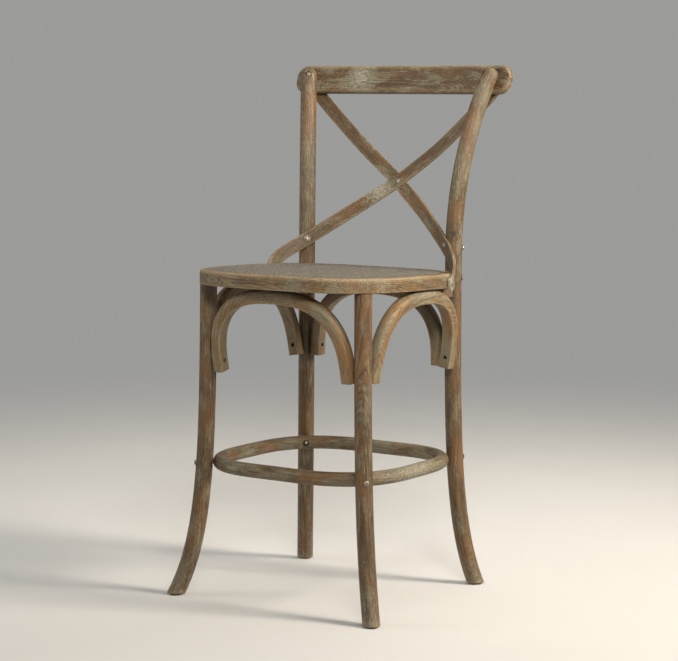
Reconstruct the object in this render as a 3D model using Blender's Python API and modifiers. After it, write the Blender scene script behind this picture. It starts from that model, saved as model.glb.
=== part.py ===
"""Counter-height cross-back stool: bentwood frame, cane seat and ring footrest.

Axes: +Z up, the sitter faces -Y, +X is the sitter's left. All lengths are metres.
Shapes are laid out about the footrest's centre line, and one empty then moves the
whole stool so that the centre of its footprint is the origin.
"""
import bpy
import bmesh
from math import atan2, cos, exp, pi, radians, sin
from mathutils import Matrix, Vector

# ---------------------------------------------------------------- driving sizes
GAP = 0.0003                 # air between touching pieces
LAYOUT_SHIFT_Y = -0.0201     # from the ring's centre line to the footprint's centre

ROUND_R = 0.0167             # legs and posts
TOTAL_TOP = 1.0400           # top of the back posts
FOOT_Z = 0.0030              # wood stops here, on the glides
FLARE = 0.140                # height over which a foot's splay falls by 1/e
FRONT_FLARE_Y = 0.110

FRONT_LEG = (0.1790, -0.1665)
FRONT_SPLAY = (0.0515, -0.0414)
BACK_POST = (0.1760, 0.1690)
BACK_SPLAY = (0.0346, 0.0498)
RAKE_START = 0.670           # the posts bend back above this height
RAKE = (0.0445, 0.0684)      # how far the post tops lean out and back
RAKE_POWER = 2.1

SEAT_Z = 0.6148              # underside of the seat at the layout centre
SEAT_SLOPE = -0.0215         # the seat falls towards the back
SEAT_THICK = 0.0280
SEAT_W = 0.2225              # half width
SEAT_MID_Y = 0.0300
SEAT_FRONT = 0.2735          # from the widest line to the front edge
SEAT_BACK = 0.1590
SEAT_POWER_FRONT = 3.4
SEAT_POWER_BACK = 2.75
RIM = 0.0480                 # width of the wooden rim
CANE_EDGE = 0.0225           # from the rim's outside to the cane's groove
GROOVE_W = 0.0050
CANE_THICK = 0.0024
RABBET = 0.0032
SPLINE_R = 0.0021
SEAT_STEPS = 60              # points round the seat's outline

RING_Z = 0.2638
RING_R = 0.2083
RING_TUBE_R = 0.0138
RING_OVAL = 0.0204           # slightly longer across than front to back
RING_SQUARE = 0.0642         # bulges towards the four legs
RING_STEPS = 40

ARCH_T = 0.0255              # section across the bend
ARCH_D = 0.0260              # section square to the arch's plane
ARCH_EDGE_R = 0.0110
ARCH_POWER = 2.6
ARCH_SPRING_Z = 0.4600
ARCH_FOOT_Z = 0.4485
ARCH_SCREW_UP = 0.0215

STRAP_W = 0.0272
STRAP_T = 0.0054
CROSS_Z = 0.8110

RAIL_HALF = 0.2555
RAIL_H = 0.0590
RAIL_T = 0.0180
RAIL_Z = 1.0180
RAIL_END_Y = 0.2490
RAIL_BOW = 0.0180
RAIL_RAKE = radians(20)
RAIL_END_R = 0.0230
RAIL_EDGE_R = 0.0055

BED = 0.0006                 # air round a strap where a post is cut for it, and under a ring bolt's head
SCREW_R = 0.0019
BOLT_R = 0.0024
BORE_START = 0.0100          # bores begin this far outside the surface they enter
RING_NUT_DEEP = 0.0070       # the ring's cap nuts stand in wells this deep
RING_WELL_R = 0.0066
RING_BOLT_TURN = 0.66      # below 1, the back bolts point more to the front than to the middle
ARCH_HEAD_R = 0.0038
ARCH_SINK = 0.0075           # the arch screws' heads lie this deep
ARCH_SCREW_LENGTH = 0.0295
ARCH_BORE = 0.0385
ARCH_WELL = 0.0117
SEAT_BOLT_LENGTH = 0.0560
SEAT_BOLT_WAY = (0.60, 0.80, 0)
STRAP_END_LENGTH = 0.0250
STRAP_TOP_LENGTH = 0.0160
LAP_REACH = 0.0120           # the half lap's cutters reach past the straps' faces
RAIL_SCREW_Z = 1.0262
RAIL_SCREW_R = 0.0042
RAIL_SCREW_LENGTH = 0.0370
RAIL_SCREW_SINK = 0.0018
RAIL_SCREW_TOE = radians(30)  # driven from the posts' inner fronts
RAIL_WELL = 0.0066
RAIL_WELL_R = 0.0050
RAIL_BORE = 0.0400
NUT_SEAT = 0.0012            # air between a post and the cap nut on it
NUT_GRIP = 0.0030            # how far a bolt's end reaches into its cap nut
SMOOTH_WOOD = 35             # degrees: steeper edges are drawn sharp
SMOOTH_ROUND = 40
SCREW_SIDES = 8

WOOD = (0.32, 0.23, 0.14)
WOOD_DARK = (0.22, 0.16, 0.10)
CANE = (0.45, 0.40, 0.32)
STEEL = (0.50, 0.48, 0.44)
NYLON = (0.05, 0.045, 0.04)

SIDES = (("left", 1), ("right", -1))


# ---------------------------------------------------------------- scene plumbing
def clear_scene():
    for obj in list(bpy.data.objects):
        bpy.data.objects.remove(obj, do_unlink=True)


def make_collection(name):
    coll = bpy.data.collections.new(name)
    bpy.context.scene.collection.children.link(coll)
    return coll


def make_material(name, colour, roughness, metallic=0.0):
    mat = bpy.data.materials.new(name)
    mat.use_nodes = True
    shader = mat.node_tree.nodes["Principled BSDF"]
    shader.inputs["Base Color"].default_value = (*colour, 1.0)
    shader.inputs["Roughness"].default_value = roughness
    shader.inputs["Metallic"].default_value = metallic
    mat.diffuse_color = (*colour, 1.0)
    return mat


clear_scene()
STOOL = make_collection("counter_stool")
CUTTERS = make_collection("cutters")
ROOT = bpy.data.objects.new("stool_origin", None)
ROOT.location = (0, LAYOUT_SHIFT_Y, 0)
STOOL.objects.link(ROOT)

FINISH = {
    "wood": (WOOD, 0.65, 0.0),
    "dark_wood": (WOOD_DARK, 0.7, 0.0),
    "cane": (CANE, 0.75, 0.0),
    "steel": (STEEL, 0.45, 1.0),
    "nylon": (NYLON, 0.5, 0.0),
}


def add_part(name, mesh, finish, smooth_angle=None):
    """Put a mesh in the stool as one named part with its own material."""
    obj = bpy.data.objects.new(name, mesh)
    mesh.materials.clear()
    mesh.materials.append(make_material(name + "_finish", *FINISH[finish]))
    if smooth_angle:
        mesh.shade_smooth()
        mesh.set_sharp_from_angle(angle=radians(smooth_angle))
    STOOL.objects.link(obj)
    obj.parent = ROOT
    return obj


def add_cutter(name, mesh):
    obj = bpy.data.objects.new(name, mesh)
    obj.hide_render = True
    obj.display_type = "WIRE"
    CUTTERS.objects.link(obj)
    obj.parent = ROOT
    return obj


def cut(obj, *cutters):
    for cutter in cutters:
        mod = obj.modifiers.new("cut_" + cutter.name, "BOOLEAN")
        mod.operation = "DIFFERENCE"
        mod.solver = "EXACT"
        mod.object = cutter
    return obj


def curve_mesh(curve):
    """Turn curve data into a closed mesh with its caps welded."""
    holder = bpy.data.objects.new("curve_holder", curve)
    bpy.context.scene.collection.objects.link(holder)
    deps = bpy.context.evaluated_depsgraph_get()
    mesh = bpy.data.meshes.new_from_object(holder.evaluated_get(deps))
    bpy.data.objects.remove(holder, do_unlink=True)
    bm = bmesh.new()
    bm.from_mesh(mesh)
    bmesh.ops.remove_doubles(bm, verts=bm.verts, dist=1e-6)
    bmesh.ops.recalc_face_normals(bm, faces=bm.faces)
    bm.to_mesh(mesh)
    bm.free()
    return mesh


def poly_curve(points, radii=None, cyclic=False, flat=False):
    curve = bpy.data.curves.new("path", "CURVE")
    curve.dimensions = "2D" if flat else "3D"
    spline = curve.splines.new("POLY")
    spline.points.add(len(points) - 1)
    for i, point in enumerate(points):
        spline.points[i].co = (*point, 1.0) if len(point) == 3 else (*point, 0.0, 1.0)
        if radii:
            spline.points[i].radius = radii[i]
    spline.use_cyclic_u = cyclic
    return curve


def tube_mesh(points, radius, radii=None, cyclic=False, resolution=4):
    curve = poly_curve(points, radii, cyclic)
    curve.bevel_depth = radius
    curve.bevel_resolution = resolution
    curve.use_fill_caps = not cyclic
    return curve_mesh(curve)


def plate_mesh(outline, low, high):
    """A flat outline made solid between two heights."""
    curve = poly_curve(outline, cyclic=True, flat=True)
    curve.fill_mode = "BOTH"
    curve.extrude = (high - low) / 2
    mesh = curve_mesh(curve)
    mesh.transform(Matrix.Translation((0, 0, (high + low) / 2)))
    return mesh


def profile_sweep(path, profile, cyclic):
    """Sweep a closed profile (across, up) along a flat path in the XY plane."""
    section = bpy.data.objects.new("section", poly_curve(profile, cyclic=True, flat=True))
    bpy.context.scene.collection.objects.link(section)
    curve = poly_curve(path, cyclic=cyclic, flat=True)
    curve.bevel_mode = "OBJECT"
    curve.bevel_object = section
    curve.use_fill_caps = not cyclic
    mesh = curve_mesh(curve)
    bpy.data.objects.remove(section, do_unlink=True)
    return mesh


def loft_mesh(rings):
    """Skin a row of matching rings, every quad split the same way, and close both ends."""
    bm = bmesh.new()
    rows = [[bm.verts.new(p) for p in ring] for ring in rings]
    count = len(rows[0])
    for low, high in zip(rows, rows[1:]):
        for i in range(count):
            j = (i + 1) % count
            bm.faces.new((low[i], low[j], high[j]))
            bm.faces.new((low[i], high[j], high[i]))
    bm.faces.new(rows[0][::-1])
    bm.faces.new(rows[-1])
    bmesh.ops.recalc_face_normals(bm, faces=bm.faces)
    mesh = bpy.data.meshes.new("loft")
    bm.to_mesh(mesh)
    bm.free()
    return mesh


def trim_mesh(mesh, point, normal):
    """Cut a mesh flat at a plane, drop the side the normal points to, and close it."""
    bm = bmesh.new()
    bm.from_mesh(mesh)
    geom = bm.verts[:] + bm.edges[:] + bm.faces[:]
    bmesh.ops.bisect_plane(bm, geom=geom, plane_co=point, plane_no=normal, clear_outer=True)
    edges = [e for e in bm.edges if e.is_boundary]
    bmesh.ops.contextual_create(bm, geom=edges)
    bmesh.ops.recalc_face_normals(bm, faces=bm.faces)
    bm.to_mesh(mesh)
    bm.free()
    return mesh


def turned_mesh(profile, steps=10):
    """A turned solid from (radius, height) points that run from the top down."""
    mesh = bpy.data.meshes.new("profile")
    edges = [(i, i + 1) for i in range(len(profile) - 1)]
    mesh.from_pydata([(r, 0, z) for r, z in profile], edges, [])
    holder = bpy.data.objects.new("turned_holder", mesh)
    bpy.context.scene.collection.objects.link(holder)
    mod = holder.modifiers.new("turn", "SCREW")
    mod.steps = steps
    mod.render_steps = steps
    mod.use_merge_vertices = True
    mod.merge_threshold = 0.00001
    deps = bpy.context.evaluated_depsgraph_get()
    result = bpy.data.meshes.new_from_object(holder.evaluated_get(deps))
    bpy.data.objects.remove(holder, do_unlink=True)
    bm = bmesh.new()
    bm.from_mesh(result)
    bmesh.ops.remove_doubles(bm, verts=bm.verts, dist=1e-6)
    bmesh.ops.recalc_face_normals(bm, faces=bm.faces)
    bm.to_mesh(result)
    bm.free()
    return result


def placed_mesh(master, point, direction):
    """A copy of the master with its origin at the point and its +Z along the direction."""
    mesh = master.copy()
    turn = Vector((0, 0, 1)).rotation_difference(Vector(direction)).to_matrix().to_4x4()
    mesh.transform(Matrix.Translation(point) @ turn)
    return mesh


def bore_mesh(places, radius, back, front, sides=10):
    """Straight round holes: each starts `back` behind its point and ends `front` past it."""
    bm = bmesh.new()
    for point, direction in places:
        turn = Vector((0, 0, 1)).rotation_difference(Vector(direction)).to_matrix().to_4x4()
        middle = Matrix.Translation((0, 0, (front - back) / 2))
        bmesh.ops.create_cone(bm, cap_ends=True, segments=sides, radius1=radius,
                              radius2=radius, depth=front + back,
                              matrix=Matrix.Translation(point) @ turn @ middle)
    mesh = bpy.data.meshes.new("bores")
    bm.to_mesh(mesh)
    bm.free()
    return mesh


def mirrored(places):
    """Add the mirror image in X of each (point, direction)."""
    out = []
    for p, d in places:
        out.append((Vector(p), Vector(d)))
        out.append((Vector((-p[0], p[1], p[2])), Vector((-d[0], d[1], d[2]))))
    return out


# ---------------------------------------------------------------- layout rules
def seat_bottom(y):
    return SEAT_Z + SEAT_SLOPE * y


def front_leg_axis(z):
    x = FRONT_LEG[0] + FRONT_SPLAY[0] * exp(-z / FLARE)
    y = FRONT_LEG[1] + FRONT_SPLAY[1] * exp(-z / FRONT_FLARE_Y)
    return Vector((x, y, z))


def back_post_axis(z):
    lean = max(0.0, (z - RAKE_START) / (TOTAL_TOP - RAKE_START)) ** RAKE_POWER
    flare = exp(-z / FLARE)
    x = BACK_POST[0] + BACK_SPLAY[0] * flare + RAKE[0] * lean
    y = BACK_POST[1] + BACK_SPLAY[1] * flare + RAKE[1] * lean
    return Vector((x, y, z))


def signed_power(value, power):
    return (1 if value > 0 else -1) * abs(value) ** power


def outline_point(inset, a):
    """A point of the seat's plan, made of two half superellipses, inside its edge."""
    n = SEAT_POWER_BACK if sin(a) > 0 else SEAT_POWER_FRONT
    depth = (SEAT_BACK if sin(a) > 0 else SEAT_FRONT) - inset
    x = (SEAT_W - inset) * signed_power(cos(a), 2 / n)
    return Vector((x, SEAT_MID_Y + depth * signed_power(sin(a), 2 / n), 0))


def seat_outline(inset):
    return [outline_point(inset, 2 * pi * i / SEAT_STEPS).xy for i in range(SEAT_STEPS)]


def tilt_to_seat(mesh):
    """Drop a level mesh, built on z = 0, onto the sloping underside of the seat."""
    mesh.transform(Matrix(((1, 0, 0, 0), (0, 1, 0, 0),
                           (0, SEAT_SLOPE, 1, SEAT_Z), (0, 0, 0, 1))))
    return mesh


def ring_point(a):
    r = RING_R * (1 + RING_OVAL * cos(2 * a) - RING_SQUARE * cos(4 * a))
    return Vector((r * cos(a), r * sin(a), RING_Z))


# ---------------------------------------------------------------- the straps' path
# Centre line of the strap that starts at the +X side of the seat and ends behind the
# -X end of the rail, with the direction that its front face looks in.
STRAP_PATH = (
    ((0.2242, 0.0731, 0.6171), (-0.985, -0.10, 0.00)),
    ((0.2178, 0.0971, 0.6278), (-0.94, -0.32, 0.02)),
    ((0.2070, 0.1150, 0.6550), (-0.76, -0.63, 0.10)),
    ((0.1655, 0.1535, 0.6900), (-0.50, -0.85, 0.12)),
    ((0.0880, 0.2020, 0.7480), (-0.30, -0.92, 0.25)),
    ((0.0235, 0.2320, CROSS_Z - 0.0175), (0.00, -0.937, 0.350)),
    ((0.0000, 0.2385, CROSS_Z), (0.00, -0.937, 0.350)),
    ((-0.0235, 0.2450, CROSS_Z + 0.0175), (0.00, -0.937, 0.350)),
    ((-0.0950, 0.2530, 0.8840), (0.12, -0.95, 0.30)),
    ((-0.1850, 0.2560, 0.9660), (0.14, -0.94, 0.30)),
    ((-0.2130, 0.2594, 0.9945), (0.13, -0.93, 0.34)),
    ((-0.2440, 0.2676, 1.0280), (0.13, -0.93, 0.34)),
)
STRAP_STEPS = 3
ROW_POST, ROW_CROSS, ROW_TOP = 3, 6, 11
END_SCREW_ROW = 1             # counted in steps, not rows


def catmull(rows, steps):
    """Points of a smooth curve through the rows, `steps` to each stretch."""
    ext = [rows[0] * 2 - rows[1]] + rows + [rows[-1] * 2 - rows[-2]]
    out = []
    for i in range(1, len(ext) - 2):
        p0, p1, p2, p3 = ext[i - 1:i + 3]
        for k in range(steps):
            t = k / steps
            out.append(0.5 * (2 * p1 + (p2 - p0) * t + (2 * p0 - 5 * p1 + 4 * p2 - p3) * t * t
                              + (3 * p1 - p0 - 3 * p2 + p3) * t ** 3))
    out.append(rows[-1])
    return out


def strap_frames(side):
    """Centre, along, face and edge directions down the strap that starts at this side."""
    flip = Vector((side, 1, 1))
    centres = catmull([Vector(p) for p, _ in STRAP_PATH], STRAP_STEPS)
    faces = catmull([Vector(n) for _, n in STRAP_PATH], STRAP_STEPS)
    frames = []
    for i, centre in enumerate(centres):
        ahead = centres[min(i + 1, len(centres) - 1)]
        along = (ahead - centres[max(i - 1, 0)]).normalized()
        face = (faces[i] - along * faces[i].dot(along)).normalized()
        edge = face.cross(along)
        frames.append(tuple(v * flip for v in (centre, along, face, edge)))
    return frames


def strap_mesh(side, front, back, width, rows=None, soft=0.0, tip=0.0):
    """A strip from `front` before to `back` behind the strap's middle surface.

    `soft` is the chamfer on its long edges, and `tip` narrows its first section.
    """
    frames = strap_frames(side)
    if rows:
        frames = frames[rows[0]:rows[1]]
    rings = []
    for i, (centre, along, face, edge) in enumerate(frames):
        half = width / 2 - (tip if i == 0 else 0.0)
        corners = []
        for e, f in ((half, front), (-half, front), (-half, -back), (half, -back)):
            inner_e = e - (soft if e > 0 else -soft)
            inner_f = f - (soft if f > 0 else -soft)
            pair = [(e, inner_f), (inner_e, f)] if e * f > 0 else [(inner_e, f), (e, inner_f)]
            corners += pair if soft else [(e, f)]
        rings.append([centre + edge * e + face * f for e, f in corners])
    return loft_mesh(rings)


def strap_at(station):
    """Centre and back direction (away from the sitter) at a station, +X side strap."""
    centre, along, face, edge = strap_frames(1)[station]
    return centre, -face


# ---------------------------------------------------------------- legs and posts
def axis_points(axis, low, high, steps):
    return [axis(low + (high - low) * i / steps) for i in range(steps + 1)]


def leg_mesh(side):
    """Front leg with a round tenon on top."""
    top = seat_bottom(FRONT_LEG[1] + ROUND_R) - GAP
    flip = Vector((side, 1, 1))
    low = axis_points(front_leg_axis, -0.01, 0.25, 10)
    high = axis_points(front_leg_axis, 0.32, top, 4)
    mesh = tube_mesh([p * flip for p in low + high], ROUND_R)
    return trim_mesh(mesh, (0, 0, FOOT_Z), (0, 0, -1))


TENON_R = 0.0078
TENON_LEN = 0.0160


def tenon_place(side):
    top = seat_bottom(FRONT_LEG[1] + ROUND_R) - GAP
    point = front_leg_axis(top)
    return (Vector((point.x * side, point.y, top)), Vector((0, 0, 1)))


def add_front_legs():
    legs = {}
    for word, side in SIDES:
        leg = add_part("front_leg_" + word, leg_mesh(side), "wood", SMOOTH_ROUND)
        tenon = add_cutter("tenon_" + word,
                           bore_mesh([tenon_place(side)], TENON_R, 0.008, TENON_LEN, 16))
        join = leg.modifiers.new("tenon", "BOOLEAN")
        join.operation = "UNION"
        join.solver = "EXACT"
        join.object = tenon
        legs[side] = leg
    return legs


def post_points(side, radius_out=0.0):
    """Back post centre line, with the radius factors that round its top."""
    flip = Vector((side, 1, 1))
    heights = [-0.01 + 0.025 * i for i in range(10)]
    heights += [0.30, 0.40, 0.52, 0.66]
    heights += [0.70 + 0.034 * i for i in range(10)]
    heights += [1.0290, 1.0335, 1.0370, 1.0392, TOTAL_TOP]
    factors = []
    crown = 0.0110
    for z in heights:
        past = max(0.0, z - (TOTAL_TOP - crown)) / crown
        factors.append(max(0.30, (1 - past ** 2) ** 0.4) + radius_out / ROUND_R)
    return [back_post_axis(z) * flip for z in heights], factors


def add_back_posts():
    posts = {}
    for word, side in SIDES:
        points, factors = post_points(side)
        mesh = tube_mesh(points, ROUND_R, factors)
        trim_mesh(mesh, (0, 0, FOOT_Z), (0, 0, -1))
        posts[side] = add_part("back_post_" + word, mesh, "wood", SMOOTH_ROUND)
    return posts


def post_cutter(side):
    points, factors = post_points(side, GAP)
    return add_cutter("post_cutter_%s" % dict((s, w) for w, s in SIDES)[side],
                      tube_mesh(points, ROUND_R, factors))


def add_glides():
    """Nylon glides: a dished foot and a pin that goes up into the leg."""
    profile = ((0, 0.018), (0.0016, 0.018), (0.0016, FOOT_Z - GAP), (0.0112, FOOT_Z - GAP),
               (0.0120, 0.0012), (0.0108, 0), (0, 0))
    master = turned_mesh(profile, 12)
    places = {}
    for word, side in SIDES:
        for row, axis in (("front", front_leg_axis), ("back", back_post_axis)):
            point = axis(0.0) * Vector((side, 1, 0))
            add_part("glide_%s_%s" % (row, word), placed_mesh(master, point, (0, 0, 1)),
                     "nylon", SMOOTH_ROUND)
            places[(row, side)] = (point, Vector((0, 0, 1)))
    return places


# ---------------------------------------------------------------- footrest ring
def add_ring():
    points = [ring_point(2 * pi * (i + 0.5) / RING_STEPS) for i in range(RING_STEPS)]
    return add_part("footrest_ring", tube_mesh(points, RING_TUBE_R, cyclic=True), "wood",
                    SMOOTH_ROUND)


def ring_bolt_places():
    """Each ring bolt: where its head sits, just off the leg, and its direction in through the ring.

    The front pair point at the ring's centre, the back pair a little more to the front."""
    out = []
    for axis in (front_leg_axis, back_post_axis):
        point = axis(RING_Z)
        turn = RING_BOLT_TURN if point.y > 0 else 1.0
        inward = Vector((-point.x * turn, -point.y, 0)).normalized()
        out.append((point - inward * (ROUND_R + BED), inward))
    return mirrored(out)


# ---------------------------------------------------------------- arches
def arch_profile():
    """Half-round outside, flat inside with small corners: (across, square to the plane)."""
    half, r = ARCH_D / 2, ARCH_EDGE_R
    quarter = [(ARCH_T / 2 - r + r * cos(a), half - r + r * sin(a))
               for a in (0, pi / 4, pi / 2)]
    inner = [(0.003 - ARCH_T / 2, half), (-ARCH_T / 2, half - 0.003)]
    upper = quarter + inner
    return upper + [(u, -v) for u, v in reversed(upper)]


def arch_path(half_span, top):
    """Upright U turned over, in its own plane: (along, up), foot to foot."""
    rise = top - ARCH_T / 2 - ARCH_SPRING_Z
    steps = 20
    points = [(half_span, ARCH_FOOT_Z)]
    for i in range(steps + 1):
        a = pi * i / steps
        points.append((half_span * signed_power(cos(a), 2 / ARCH_POWER),
                       ARCH_SPRING_Z + rise * max(0.0, sin(a)) ** (2 / ARCH_POWER)))
    points.append((-half_span, ARCH_FOOT_Z))
    return points


class Arch:
    """One arch: feet beside two legs, crown under the seat, leaning out by `lean`."""

    def __init__(self, name, half_span, top, foot, lean, turn):
        self.name = name
        self.half_span = half_span
        self.top = top
        upright = Matrix.Rotation(pi / 2, 4, "X")
        drop = Matrix.Translation((0, 0, -ARCH_FOOT_Z))
        tip = Matrix.Rotation(lean, 4, "X")
        place = Matrix.Translation((foot[0], foot[1], ARCH_FOOT_Z))
        self.matrix = place @ Matrix.Rotation(turn, 4, "Z") @ tip @ drop @ upright

    def local(self, along, up, out=0.0):
        return self.matrix @ Vector((along, up, out))

    def direction(self, along, up):
        return (self.matrix.to_3x3() @ Vector((along, up, 0))).normalized()

    def build(self):
        mesh = profile_sweep(arch_path(self.half_span, self.top), arch_profile(), False)
        mesh.transform(self.matrix)
        return add_part(self.name, mesh, "wood", SMOOTH_ROUND)

    def foot_screws(self):
        """Points on the flat inner faces, pointing out into the legs."""
        out = []
        for s in (1, -1):
            along = s * (self.half_span - ARCH_T / 2)
            out.append((self.local(along, ARCH_FOOT_Z + ARCH_SCREW_UP), self.direction(s, 0)))
        return out

    def top_screw(self):
        return (self.local(0, self.top - ARCH_T), self.direction(0, 1))


FRONT_ARCH_Y = -0.1655
BACK_ARCH_Y = 0.1670
SIDE_ARCH_X = 0.1800
SIDE_ARCH_MID_Y = (FRONT_LEG[1] - 0.0007 + BACK_POST[1] + 0.0018) / 2
FOOT_REACH = ROUND_R + GAP + ARCH_T / 2
ARCHES = (
    Arch("arch_front", FRONT_LEG[0] + 0.0017 - FOOT_REACH, 0.6215, (0, FRONT_ARCH_Y),
         radians(12.5), 0),
    Arch("arch_back", BACK_POST[0] + 0.0011 - FOOT_REACH, 0.6098, (0, BACK_ARCH_Y),
         radians(-1.5), pi),
    Arch("arch_left", (BACK_POST[1] - FRONT_LEG[1] + 0.0020) / 2 - FOOT_REACH, 0.6160,
         (SIDE_ARCH_X, SIDE_ARCH_MID_Y), radians(9.7), pi / 2),
    Arch("arch_right", (BACK_POST[1] - FRONT_LEG[1] + 0.0020) / 2 - FOOT_REACH, 0.6160,
         (-SIDE_ARCH_X, SIDE_ARCH_MID_Y), radians(9.7), -pi / 2),
)


# ---------------------------------------------------------------- seat
def rim_profile():
    """Section of the rim, from its outside inwards: (inset, height)."""
    deep = SEAT_THICK - RABBET - 0.0035
    return [(0.0015, 0), (0, 0.0015), (0, SEAT_THICK - 0.0050),
            (0.0015, SEAT_THICK - 0.0015), (0.0050, SEAT_THICK), (CANE_EDGE, SEAT_THICK),
            (CANE_EDGE, deep), (CANE_EDGE + GROOVE_W, deep),
            (CANE_EDGE + GROOVE_W, SEAT_THICK - RABBET), (RIM, SEAT_THICK - RABBET), (RIM, 0)]


def rim_mesh():
    """Closed sweep of the rim's section, one ring of points for each inset."""
    rings = [[Vector((x, y, height)) for x, y in seat_outline(inset)]
             for inset, height in rim_profile()]
    bm = bmesh.new()
    rows = [[bm.verts.new(p) for p in ring] for ring in rings]
    for r, row in enumerate(rows):
        after = rows[(r + 1) % len(rows)]
        for i in range(len(row)):
            j = (i + 1) % len(row)
            bm.faces.new((row[i], row[j], after[j], after[i]))
    bmesh.ops.recalc_face_normals(bm, faces=bm.faces)
    mesh = bpy.data.meshes.new("rim")
    bm.to_mesh(mesh)
    bm.free()
    return tilt_to_seat(mesh)


FINGER = 0.0110              # length of the rim's finger joints
FINGER_COUNT = 4
KERF = 0.0011                # measured along the rim: the fingers' flanks are steep
KERF_REACH = 0.0340          # half of the slot's length across the rim
JOINTS = {"front": radians(-36), "back": radians(58)}


def kerf_mesh(a, side):
    """Zigzag slot, square across the rim at an outline angle, that parts two pieces."""
    middle = outline_point(RIM / 2, a)
    along = outline_point(RIM / 2, a + 0.02) - outline_point(RIM / 2, a - 0.02)
    teeth = FINGER_COUNT * 2 + 2
    step = SEAT_THICK * 1.25 / (teeth - 1)
    zig = [((FINGER / 2) * (1 if i % 2 else -1), -0.003 + i * step) for i in range(teeth)]
    near = [(u - KERF / 2, v) for u, v in zig]
    far = [(u + KERF / 2, v) for u, v in reversed(zig)]
    mesh = plate_mesh(near + far, -KERF_REACH, KERF_REACH)
    # the drawing's x runs along the rim and its y is height
    mesh.transform(Matrix.Translation(middle) @ Matrix.Rotation(atan2(along.y, along.x), 4, "Z")
                   @ Matrix.Rotation(pi / 2, 4, "X"))
    if side < 0:
        mesh.transform(Matrix.Scale(-1, 4, (1, 0, 0)))
        mesh.flip_normals()
    return tilt_to_seat(mesh)


def add_seat(cutters):
    """Rim in four pieces joined by fingers, cane panel and the spline that holds it."""
    rim = add_part("seat_rim", rim_mesh(), "wood")
    for row, a in JOINTS.items():
        for word, side in SIDES:
            cut(rim, add_cutter("kerf_%s_%s" % (row, word), kerf_mesh(a, side)))
    cut(rim, *cutters)
    deps = bpy.context.evaluated_depsgraph_get()
    whole = bpy.data.meshes.new_from_object(rim.evaluated_get(deps))
    bpy.data.objects.remove(rim, do_unlink=True)
    split_rim(whole)

    panel = plate_mesh(seat_outline(CANE_EDGE + GROOVE_W + GAP), 0, CANE_THICK)
    panel.transform(Matrix.Translation((0, 0, SEAT_THICK - RABBET + GAP)))
    add_part("cane_panel", tilt_to_seat(panel), "cane")

    middle = CANE_EDGE + GROOVE_W / 2
    height = SEAT_THICK - SPLINE_R - 0.0006
    loop = [(x, y, height) for x, y in seat_outline(middle)]
    add_part("cane_spline", tilt_to_seat(tube_mesh(loop, SPLINE_R, cyclic=True, resolution=0)),
             "cane", 60)


def split_rim(whole):
    """Make a part of each loose body of the rim, named by where it lies."""
    bm = bmesh.new()
    bm.from_mesh(whole)
    bmesh.ops.remove_doubles(bm, verts=bm.verts, dist=1e-7)
    todo = set(bm.verts)
    while todo:
        seed = todo.pop()
        body, edge = {seed}, [seed]
        while edge:
            for link in edge.pop().link_edges:
                for vert in link.verts:
                    if vert not in body:
                        body.add(vert)
                        edge.append(vert)
        todo -= body
        centre = sum((v.co for v in body), Vector()) / len(body)
        name = "seat_rim_" + side_name(centre)
        piece = bmesh.new()
        table = {v: piece.verts.new(v.co) for v in body}
        for face in bm.faces:
            if face.verts[0] in body:
                piece.faces.new([table[v] for v in face.verts])
        mesh = bpy.data.meshes.new(name)
        piece.to_mesh(mesh)
        piece.free()
        add_part(name, mesh, "wood", SMOOTH_WOOD)
    bm.free()


def side_name(centre):
    if abs(centre.x) > 0.1:
        return "left" if centre.x > 0 else "right"
    return "front" if centre.y < 0 else "back"


BLOCK_LOW = 0.5880
BLOCK_X = (0.1500, 0.1840)
BLOCK_Y = (0.1180, 0.1600)


def add_corner_blocks(round_cutters):
    """Glue blocks under the seat's back corners, hollowed to fit the posts."""
    for word, side in SIDES:
        bm = bmesh.new()
        bmesh.ops.create_cube(bm, size=1.0)
        top = seat_bottom(BLOCK_Y[1]) - GAP
        size = Vector((BLOCK_X[1] - BLOCK_X[0], BLOCK_Y[1] - BLOCK_Y[0], top - BLOCK_LOW))
        bmesh.ops.scale(bm, vec=size, verts=bm.verts)
        bmesh.ops.bevel(bm, geom=bm.edges, offset=0.0015, segments=1, affect="EDGES")
        mesh = bpy.data.meshes.new("block")
        bm.to_mesh(mesh)
        bm.free()
        centre = Vector((side * sum(BLOCK_X) / 2, sum(BLOCK_Y) / 2, (top + BLOCK_LOW) / 2))
        mesh.transform(Matrix.Translation(centre))
        block = add_part("corner_block_" + word, mesh, "dark_wood")
        cut(block, round_cutters[side])


# ---------------------------------------------------------------- top rail
def rail_frame(x):
    """Centre of the rail's section at x, with its plan direction."""
    y = RAIL_END_Y + RAIL_BOW * (1 - (x / RAIL_HALF) ** 2)
    slope = -2 * RAIL_BOW * x / RAIL_HALF ** 2
    along = Vector((1, slope, 0)).normalized()
    return Vector((x, y, RAIL_Z)), along


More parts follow.
